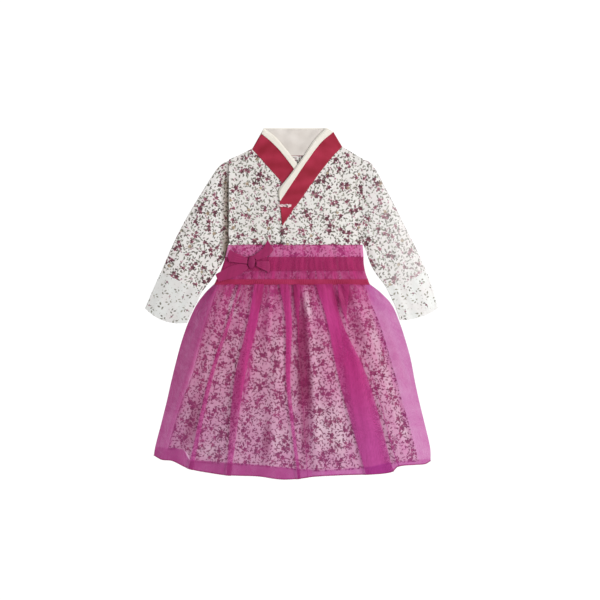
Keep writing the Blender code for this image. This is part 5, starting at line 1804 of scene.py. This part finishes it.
        pieces = (("collar_band_back", rows(0, share, 16), lambda x, y: 0 * x + COTTON / 2, CRIMSON,
            "crimson_band", "collar_back", COTTON - 0.2),
            ("cream_band_back", rows(share + 0.003, 1, 8), lambda x, y: 0 * x + COTTON / 2 + 0.1, CREAM,
            "cream_band", "white_band_back", COTTON),
            ("neck_lining_cloth", rows(0.012, 0.955, 44, 1.2), self.lining_height, LINING, "neck_lining",
            "neck_lining", 0.7))
        for name, points, height, finish, slot, node, wall in pieces:
            grid = panel_grid(points, height)
            piece = placed(name, grid.mesh(name, wall), finish, slot, [node])
            declared(piece, grid)

    @staticmethod
    def lining_height(x: Array, y: Array) -> Array:
        """Middle of the lining, with its soft upright waves and its climb to the over band."""
        waves = (0.35 * np.sin(x / 8.5 + 0.8) + 0.25 * np.sin(x / 4.7 + 2)) * ease(312, 330, y)
        edge = np.interp(y, [s.inner[1] for s in OVER_COLLAR], [s.inner[0] for s in OVER_COLLAR])
        climb = 2.2 * ease(26, 2, edge - x) * ease(367, 358, y)
        return COTTON + 1.1 + waves * (1 - climb / 2.2) + climb + 0.5 * hump(y - 362, 10)


# ---- skirts ----
@dataclass
class SkirtShape:
    """What both skirts have in common: a tube from the waist to a curved hem. Each has its
    front_level, its front's middle without folds, and its back_level, its back's underside.

    Attributes:
        top_y: The waist edge.
        sides: Its half widths.
        hem: The hem's height at places across.
        wall: The solid's wall.
        ridges: The folds that run all the way down.
        folds: The creases.
        back_folds: The back's creases.
        stretches: The points across each stretch between pleats.
        rows: The number of rows.
        back_points: The points across the back.
        pleats: The knife pleats.
    """
    top_y: float
    sides: tuple[Side, ...]
    hem: tuple[Point, ...]
    wall: float
    ridges: tuple[Ridge, ...]
    folds: tuple[Fold, ...]
    back_folds: tuple[Fold, ...]
    stretches: tuple[int, ...]
    rows: int
    back_points: int
    pleats: tuple[Pleat, ...] = ()

    def hem_at(self, part: Numbers) -> Numbers:
        """The hem's height at a place across."""
        return through(*zip(*self.hem), part)

    def gathers(self, part: Array, y: Array) -> Array:
        """What the gathers at the waist add."""
        raise NotImplementedError

    def section(self, down: float) -> Section:
        """The section at one place down."""
        right_y = mix(self.top_y, self.hem[0][1], down)
        left_y = mix(self.top_y, self.hem[-1][1], down)
        right = float(sides_at(self.sides, right_y)[0])
        left = float(sides_at(self.sides, left_y)[1])
        width = left - right

        def height(across: Array) -> Array:
            """Middle of the front at places across."""
            part = across / width
            y = mix(self.top_y, self.hem_at(part), down)
            edge = ease(0, 0.05, np.minimum(part, 1 - part))
            rise = fold_rise(self.folds, part, down) + self.gathers(part, y)
            for ridge in self.ridges:
                stands = mix(ridge.waist_rise, ridge.hem_rise, ease(0, 0.6, down))
                rise = rise + stands * hump(part - ridge.across, ridge.half_width)
            return self.front_level(right + across, y) + edge * rise

        def back_rise(part: Array) -> Array:
            """How far the back's creases lift it."""
            return ease(0, 0.05, np.minimum(part, 1 - part)) * fold_rise(self.back_folds, part, down)

        def bow(part: Array) -> Array:
            """How far the hem's curve brings a place down."""
            part = np.clip(part, 0, 1)
            return (mix(self.hem[0][1], self.hem[-1][1], part) - self.hem_at(part)) * down

        low = self.back_level((right_y + left_y) / 2) + self.wall / 2
        start = self.wall / 2 + (float(height(np.zeros(1))[0]) - low) / 2
        front = self.front(width, right, start, height, down)
        path = ring_path(width, front, low, self.back_points, back_rise)
        return Section(np.array([right, right_y]), np.array([left, left_y]), path, bow)

    def front(self, width: float, right: float, start: float, height: Rise, down: float) -> Array:
        """The front's middle line with its knife pleats folded in, as (across, z)."""
        parts, low = [], start
        for pleat, count in zip(self.pleats, self.stretches):
            one, other, step = (float(through(pleat.levels, values, down))
                for values in (pleat.one, pleat.other, pleat.step))
            parts.append(self.plain(low, one - right - PLEAT_RAMP, count, height))
            parts.append(self.folded(one - right, other - right, step, height))
            low = other - right
        parts.append(self.plain(low, width - start, self.stretches[-1], height))
        return np.concatenate(parts)

    @staticmethod
    def plain(low: float, high: float, count: int, height: Rise) -> Array:
        """A stretch with no pleat."""
        across = np.linspace(low, high, count)
        return np.column_stack([across, height(across)])

    @staticmethod
    def folded(one: float, other: float, step: float, height: Rise) -> Array:
        """A pleat: up a ramp, over the top, back under itself and on again."""
        turn = step / 2
        up = np.linspace(0.12, 1, 8)
        climb = np.column_stack([one - PLEAT_RAMP * (1 - up), 2 * step * up * up * (3 - 2 * up)])
        top = np.column_stack([np.linspace(one, other - turn, 12)[1:], np.full(11, 2 * step)])
        angle = np.pi * np.arange(1, 6) / 6
        bend = np.column_stack([other - turn + turn * np.sin(angle), 1.5 * step + turn * np.cos(angle)])
        under = np.column_stack([np.linspace(other - turn, one + turn, 11), np.full(11, step)])
        back = np.column_stack([one + turn - turn * np.sin(angle), 0.5 * step + turn * np.cos(angle)])
        last = np.column_stack([np.linspace(one + turn, other, 12)[:-1], np.zeros(11)])
        line = np.concatenate([climb, top, bend, under, back, last])
        line[:, 1] += height(line[:, 0])
        return line

    def grid(self) -> ClothGrid:
        """The whole skirt's grid."""
        downs = shares(self.rows) ** 1.08
        return tube_grid([self.section(float(down)) for down in downs])


class FloralSkirt(SkirtShape):
    """The printed cotton skirt."""
    front_level = staticmethod(Lay.skirt_front)
    back_level = staticmethod(Lay.skirt_back)

    def gathers(self, part: Array, y: Array) -> Array:
        """Small gathers that run out below the waist."""
        return 0.35 * fine_gathers(part, 34) * ease(-60, 46, y)

    def build(self) -> None:
        """The skirt and its hem stitches."""
        grid = self.grid()
        piece = placed("skirt_cloth", grid.mesh("skirt", 0.8), FLORAL_SKIRT, "floral_cotton", ["skirt"])
        row = int(self.rows * (1 - HEM_DEPTH / SKIRT_LENGTH))
        line = grid.pushed(0.5).points[row]
        stitches = sewn("skirt_hem_stitches", line, WHITE_THREAD, "floral_cotton", 4.2, 3, 0.5,
            closed=True)
        declared(piece, grid, ["overskirt_organza"])


class OrganzaOverskirt(SkirtShape):
    """The sheer overskirt with its knife pleats."""
    front_level = staticmethod(Lay.overskirt_front)
    back_level = staticmethod(lambda y: 0 * y)

    def gathers(self, part: Array, y: Array) -> Array:
        """The main gathers, and narrow ones between them."""
        reach = ease(self.top_y - GATHER_REACH, self.top_y, y)
        return reach * (GATHER_RISE * gather_wave(part)) + 0.35 * reach ** 2 * fine_gathers(part, 46)

    def build(self) -> None:
        """The overskirt and its rolled hem."""
        grid = self.grid()
        piece = placed("overskirt_organza", grid.mesh("overskirt"), SHEER, "organza", ["overskirt"])
        hem = corded("overskirt_rolled_hem", grid.points[-1], ROLLED, "organza", 0.75, 6, 0.95, 0.25,
            closed=True)
        declared(piece, grid, ())


# ---- waist ----
@dataclass
class WaistBand:
    """A short tube round the waist.

    Attributes:
        foot: Its lower edge.
        top: Its upper edge.
        rows: The number of rows.
        inset: How far its sides lie inside the waist's.
        back_z: Underside of its back.
        wall: The solid's wall.
        level: Underside of its front.
        rise: What its gathers add, by place across and height.
        points: The points across its front.
    """
    foot: float
    top: float
    rows: int
    inset: float
    back_z: float
    wall: float
    level: Level
    rise: Callable[[Array, float], Array]
    points: int = 330
    back_points: int = 90

    def grid(self, edge_wave: float = 0) -> ClothGrid:
        """The band's grid, from its top to its foot.

        Args:
            edge_wave: How far its upper edge strays up and down.

        Returns:
            The grid.
        """
        sections = []
        for y in np.linspace(self.top, self.foot, self.rows):
            right, left = (float(v) for v in sides_at(WAIST_SIDES, y))
            right, left = right + self.inset, left - self.inset
            width = left - right
            low = self.back_z + self.wall / 2
            side_z = float(self.level(np.array([right]), y)[0]) + self.wall / 2
            start = self.wall / 2 + (side_z - low) / 2
            part = shares(self.points)
            across = mix(start, width - start, part)
            calm = ease(0, 0.03, np.minimum(part, 1 - part))
            z = self.level(right + across, y) + self.wall / 2 + self.rise(part, y) * calm
            path = ring_path(width, np.column_stack([across, z]), low, self.back_points)
            stray = edge_wave * float(ease(self.top - 14, self.top, y))
            sections.append(Section(np.array([right, y]), np.array([left, y]), path,
                lambda share, s=stray: s * (fine_gathers(share, 23) + 0.6 * np.sin(31 * share))))
        return tube_grid(sections)


@dataclass
class Waist:
    """Header, belt and waist seam."""

    @staticmethod
    def header_rise(part: Array, y: float) -> Array:
        """The header's gathers: free at its top and foot, pressed flat under the belt."""
        free = max(float(ease(BELT_TOP_Y, HEADER_TOP_Y, y)),
            0.8 * float(ease(BELT_FOOT_Y, HEADER_FOOT_Y, y)))
        return free * (GATHER_RISE * gather_wave(part) + 0.42 * fine_gathers(part, 52))

    @staticmethod
    def belt_rise(part: Array, y: float) -> Array:
        """The belt's soft puckers, and its rounded edges."""
        inner = min(float(ease(BELT_TOP_Y, BELT_TOP_Y - 5, y)),
            float(ease(BELT_FOOT_Y, BELT_FOOT_Y + 5, y)))
        return 0.35 * inner + 0.34 * fine_gathers(part, 24) * (0.3 + 0.7 * inner)

    @staticmethod
    def seam_rise(part: Array, y: float) -> Array:
        """The waist seam's ruching over its cord."""
        round_part = math.sin(math.pi * float(np.clip((y - SEAM_FOOT_Y + 0.2) / 11.8, 0, 1)))
        return 0.55 * round_part + 0.42 * round_part * fine_gathers(part, 78)

    def build(self) -> None:
        """All the waist's pieces."""
        header = WaistBand(HEADER_FOOT_Y - 2.6, HEADER_TOP_Y, 54, -0.6, HEADER_BACK, ORGANZA, Lay.header,
            self.header_rise).grid(0.8)
        header_piece = placed("header_organza", header.mesh("header"), HEADER_SHEER, "organza", ["header"])
        rolled = corded("header_rolled_edge", header.points[0], ROLLED, "organza", 0.5, 6, 0.95, 0.3,
            closed=True)
        declared(header_piece, header, ["bodice_cloth_front_left"])
        belt = WaistBand(BELT_FOOT_Y, BELT_TOP_Y, 26, 0, 0, ORGANZA, Lay.belt, self.belt_rise).grid(0.3)
        belt_piece = placed("belt_ribbon", belt.mesh("belt", 0.8), RIBBON, "organza_ribbon", ["belt"])
        for name, row in (("upper", 2), ("lower", -3)):
            line = belt.pushed(0.5).points[row]
            sewn("belt_stitches_" + name, line, MAGENTA_THREAD, "organza_ribbon", 3.2, 2.3,
                0.4, closed=True)
        declared(belt_piece, belt, ["header_organza"])
        seam = WaistBand(SEAM_FOOT_Y, HEADER_FOOT_Y + 0.4, 16, 0.4, 0, PIPING, Lay.piping, self.seam_rise,
            420).grid()
        seam_piece = placed("waist_seam_cord", seam.mesh("seam", 1.2), SEAM_RED, "waist_piping",
            ["waist_piping"])
        declared(seam_piece, seam, ["skirt_cloth"])


# ---- bow ----
@dataclass
class Bow:
    """The ribbon bow at the waist: two loops, two tails and the knot."""
    wall: float = 0.7
    loop_rows: int = 34
    loop_points: int = 30
    tail_rows: int = 50
    tail_points: int = 24
    tail_size: tuple[float, float] = (18, 60)

    def loop(self, name: str, stations: Sequence[RibbonSection], node: str) -> None:
        """A loop: the ribbon turned back on itself, with creases that fan out from the knot."""
        rows = run_of([(*s.one, *s.other, s.rise) for s in stations], self.loop_rows)
        knot_side = 1 if stations[0].other[0] < KNOT.one[0] + 1 else 0
        sections = []
        for k, (x0, y0, x1, y1, rise) in enumerate(rows):
            width = math.dist((x0, y0), (x1, y1))
            z = float(max(Lay.bow(x0, y0), Lay.bow(x1, y1))) + rise
            low, high = z + ORGANZA / 2, z + LOOP_HEIGHT - ORGANZA / 2
            start = ORGANZA / 2 + (high - low) / 2
            part = shares(self.loop_points)
            fan = 0.45 * math.sin(k * 0.72 + 0.4) * ease(1, 0.25, np.abs(part - knot_side))
            z_line = high + 0.8 * np.sin(math.pi * part) + fan * np.sin(math.pi * part)
            front = np.column_stack([mix(start, width - start, part), z_line])
            path = ring_path(width, front, low, 20)
            sections.append(Section(np.array([x0, y0]), np.array([x1, y1]), path, lambda share: 0 * share))
        grid = tube_grid(sections)
        piece = placed(name, grid.mesh(name, self.wall), BOW_RIBBON, "organza_ribbon", [node])
        declared(piece, grid, ["belt_ribbon"])

    def tail(self, name: str, stations: Sequence[RibbonSection], node: str) -> None:
        """A tail: the doubled ribbon, with a soft fold along it."""
        rows = run_of([(*s.one, *s.other, s.rise) for s in stations], self.tail_rows)
        points = rows_across(rows[:, :2], rows[:, 2:4], self.tail_points)
        part = shares(self.tail_points)[None, :]
        along = shares(self.tail_rows)[:, None]
        crown = 0.8 * np.sin(math.pi * part) ** 0.8
        folds = (0.4 * np.sin(2 * math.pi * (1.6 * part + 0.25)) * np.sin(math.pi * part)
            * ease(1.2, 0.2, along))
        z = Lay.bow(points[..., 0], points[..., 1]) + rows[:, 4:5] + crown + folds + TAIL_WALL / 2
        flat = np.dstack([part * self.tail_size[0] + 0 * along, -along * self.tail_size[1] + 0 * part])
        grid = ClothGrid(np.dstack([points, z]), flat)
        piece = placed(name, grid.mesh(name, 1), BOW_RIBBON, "organza_ribbon", [node])
        declared(piece, grid, ["belt_ribbon"])

    def knot(self) -> None:
        """The knot: a soft barrel with folds across it."""
        half = np.array([(KNOT.other[0] - KNOT.one[0]) / 2, KNOT_LENGTH / 2, KNOT_HEIGHT / 2])
        base = float(Lay.bow(KNOT.other[0], KNOT.other[1])) + KNOT.rise
        centre = np.array([KNOT.one[0] + half[0], KNOT.one[1], base + half[2]])
        rows, columns = 40, 72
        tilt = np.linspace(0.03, math.pi - 0.03, rows)[:, None]
        turn = np.linspace(0, math.tau, columns, endpoint=False)[None, :]
        swell = 1 + 0.07 * np.sin(3 * turn + 2.4 * np.cos(tilt)) * np.sin(tilt) ** 2
        swell = swell - 0.05 * hump(np.cos(tilt) - 0.25, 0.25) - 0.04 * hump(np.cos(tilt) + 0.4, 0.2)
        x = half[0] * np.sin(tilt) ** 0.7 * np.cos(turn) * swell
        z = half[2] * np.sin(tilt) ** 0.7 * np.sin(turn) * swell
        y = half[1] * np.cos(tilt) + 0 * turn
        points = np.dstack([x, y, z]) + centre
        flat = np.dstack([np.broadcast_to(np.linspace(0, 40, columns + 1), (rows, columns + 1)),
            np.broadcast_to(-np.linspace(0, 30, rows)[:, None], (rows, columns + 1))])
        mesh = ClothGrid(points, flat, True).mesh("bow knot")
        placed("bow_knot_ribbon", mesh, KNOTTED, "organza_ribbon", ["bow_knot"])

    def build(self) -> None:
        """The whole bow."""
        self.tail("bow_tail_upper_ribbon", UPPER_TAIL, "bow_tail_upper")
        self.tail("bow_tail_lower_ribbon", LOWER_TAIL, "bow_tail_lower")
        self.loop("bow_loop_right_ribbon", RIGHT_LOOP, "bow_loop_right")
        self.loop("bow_loop_left_ribbon", LEFT_LOOP, "bow_loop_left")
        self.knot()


# ---- tie ----
@dataclass
class Tie:
    """The collar's tie: a printed strip that ends in a twisted loop over a knotted button."""
    cord_start_x: float = -29
    strand_gap: float = 1.6
    strip_width: float = 7
    strip_rise: float = 1.9
    strip_line: tuple[Point, ...] = ((-63, 203), (-52, 204.6), (-40, 205.2), (-26.5, 205))

    @staticmethod
    def height(x: Array) -> Array:
        """Height of the loop's middle."""
        under = Lay.under(x, TIE_Y + 0 * x) + COTTON
        over = Lay.over(np.maximum(x, -19), TIE_Y + 0 * x) + COLLAR
        return mix(under, over, ease(-38, -27, x)) + TIE_RADIUS + 0.4

    def loop(self) -> None:
        """The loop: two strands of one cord, twisted round each other up to the button."""
        turns = 3
        straight = np.linspace(self.cord_start_x, TIE_END_X - 2, 100)
        turn = np.linspace(0, turns * math.pi, 100)
        middle = self.height(straight)
        strands = [np.column_stack([straight, TIE_Y + way * self.strand_gap * np.cos(turn),
            middle + way * self.strand_gap * np.sin(turn)]) for way in (1, -1)]
        bend = np.linspace(0, math.pi, 12)[1:-1]
        start, end = strands[0][-1], strands[1][-1]
        round_end = mix(start, end, (0.5 - 0.5 * np.cos(bend))[:, None])
        round_end[:, 0] += 1.6 * np.sin(bend)
        line = np.concatenate([strands[0], round_end, strands[1][::-1]])
        corded("tie_loop_cord", line, FLORAL_TIE, "floral_cotton", 1.75, 7, 0.92, 0.5, closed=True,
            nodes=["tie_loop"])

    def strip(self) -> None:
        """The printed strip that the cord grows out of, laid on the under front."""
        line = run_of(self.strip_line, 50)
        part = shares(16)[None, :]
        half = self.strip_width / 2 * (1 - 0.25 * ease(0.7, 1, shares(50)))[:, None]
        x = line[:, :1] + 0 * part
        y = line[:, 1:] + half * (1 - 2 * part)
        arch = self.strip_rise * np.sin(math.pi * part) ** 0.6 * ease(0, 0.08, shares(50))[:, None]
        z = self.height(x) - TIE_RADIUS + 0.1 + arch
        grid = ClothGrid(np.dstack([x, y, z]), np.dstack([x, y]))
        placed("tie_strip", grid.mesh("tie strip", 0.7), FLORAL, "floral_cotton")

    def button(self) -> None:
        """The knotted button: a round knot of the same cord, three turns laid over each other."""
        top = float(self.height(np.array([BUTTON_X]))[0]) + TIE_RADIUS + BUTTON_RADIUS * 0.8 - 0.25
        t = np.linspace(0, math.tau, 120, endpoint=False)
        reach = BUTTON_RADIUS - 1.25
        line = np.column_stack([BUTTON_X + reach * (np.sin(t) + 0.9 * np.sin(2 * t)) * 0.62,
            TIE_Y + reach * (np.cos(t) - 0.9 * np.cos(2 * t)) * 0.62, top - 0.2 - 0.9 * np.sin(3 * t)])
        corded("tie_button_knot", line, FLORAL_TIE, "floral_cotton", 1.5, 6, 0.86, 0.7, closed=True,
            nodes=["tie_button"])

    def build(self) -> None:
        """Strip, loop and button."""
        self.strip()
        self.loop()
        self.button()


# ---- room ----
@dataclass
class Room:
    """The pale floor, the soft lights and the camera straight above."""
    floor_size: float = 6
    camera_height: float = 3
    view_width: float = 1.26
    centre: Point = (0.01785, 0.00735)

    def build(self) -> None:
        """Floor, lights, world and camera."""
        half = self.floor_size / 2
        mesh = bpy.data.meshes.new("floor")
        z = -0.0004
        mesh.from_pydata([(-half, -half, z), (half, -half, z), (half, half, z), (-half, half, z)], [],
            [(0, 1, 2, 3)])
        floor = shown("floor", mesh)
        paper = bpy.data.materials.new("pale paper")
        paper.use_nodes = True
        recipe = Recipe(paper.node_tree)
        shader = paper.node_tree.nodes["Principled BSDF"]
        cloud = recipe.noise(Finish.place(recipe, Reads.LYING), 0.01, 2)
        shade = recipe.blend(cloud, (0.05, 0.05, 0.05, 1), (0.06, 0.06, 0.06, 1))
        recipe.fill(shader, Base_Color=shade, Roughness=0.9, Emission_Color=(1, 1, 1, 1),
            Emission_Strength=1)
        mesh.materials.append(paper)
        self.light("key", (1.45, 0.25, 1.45), 1.3, 37)
        self.light("fill", (-1.4, 0.6, 2.2), 1.8, 6.5)
        world = bpy.data.worlds.new("studio")
        world.use_nodes = True
        Recipe(world.node_tree).fill(world.node_tree.nodes["Background"], Color=(1, 1, 1, 1),
            Strength=0.46)
        bpy.context.scene.world = world
        view = bpy.context.scene.view_settings
        view.view_transform, view.look, view.exposure = "Standard", "None", 0
        camera = bpy.data.cameras.new("above")
        camera.sensor_width = 36
        camera.lens = 36 * self.camera_height / self.view_width
        camera.clip_end = 50
        holder = shown("above", camera)
        holder.location = (*self.centre, self.camera_height)
        bpy.context.scene.camera = holder

    @staticmethod
    def light(name: str, place: tuple[float, float, float], size: float, power: float) -> None:
        """A square soft light that looks at the middle of the dress."""
        lamp = bpy.data.lights.new(name, "AREA")
        lamp.size, lamp.energy = size, power
        holder = shown(name, lamp)
        holder.location = place
        holder.rotation_euler = Vector(place).to_track_quat("Z", "Y").to_euler()


def main() -> None:
    """Build the dress in its sewing order, then the room around it."""
    logging.basicConfig(level=logging.INFO, format="%(message)s")
    Bodice().build()
    Sleeve("right", RIGHT_SLEEVE, RIGHT_CUFF, RIGHT_SLEEVE_CREASES, LEFT_SLEEVE_CREASES,
        FLORAL_RIGHT).build()
    Sleeve("left", LEFT_SLEEVE, LEFT_CUFF, LEFT_SLEEVE_CREASES, RIGHT_SLEEVE_CREASES, FLORAL_LEFT).build()
    Collar().build()
    skirt = FloralSkirt(WAIST_Y, SKIRT_SIDES, SKIRT_HEM, COTTON, SKIRT_RIDGES, SKIRT_FOLDS,
        SKIRT_BACK_FOLDS, (240,), 124, 70)
    skirt.build()
    overskirt = OrganzaOverskirt(OVERSKIRT_TOP_Y, OVERSKIRT_SIDES, OVERSKIRT_HEM, ORGANZA,
        OVERSKIRT_RIDGES, OVERSKIRT_FOLDS, SKIRT_BACK_FOLDS, (44, 20, 26, 8, 22, 8, 52), 134, 76,
        OVERSKIRT_PLEATS)
    overskirt.build()
    Waist().build()
    Bow().build()
    Tie().build()
    Room().build()


if __name__ == "__main__":
    main()
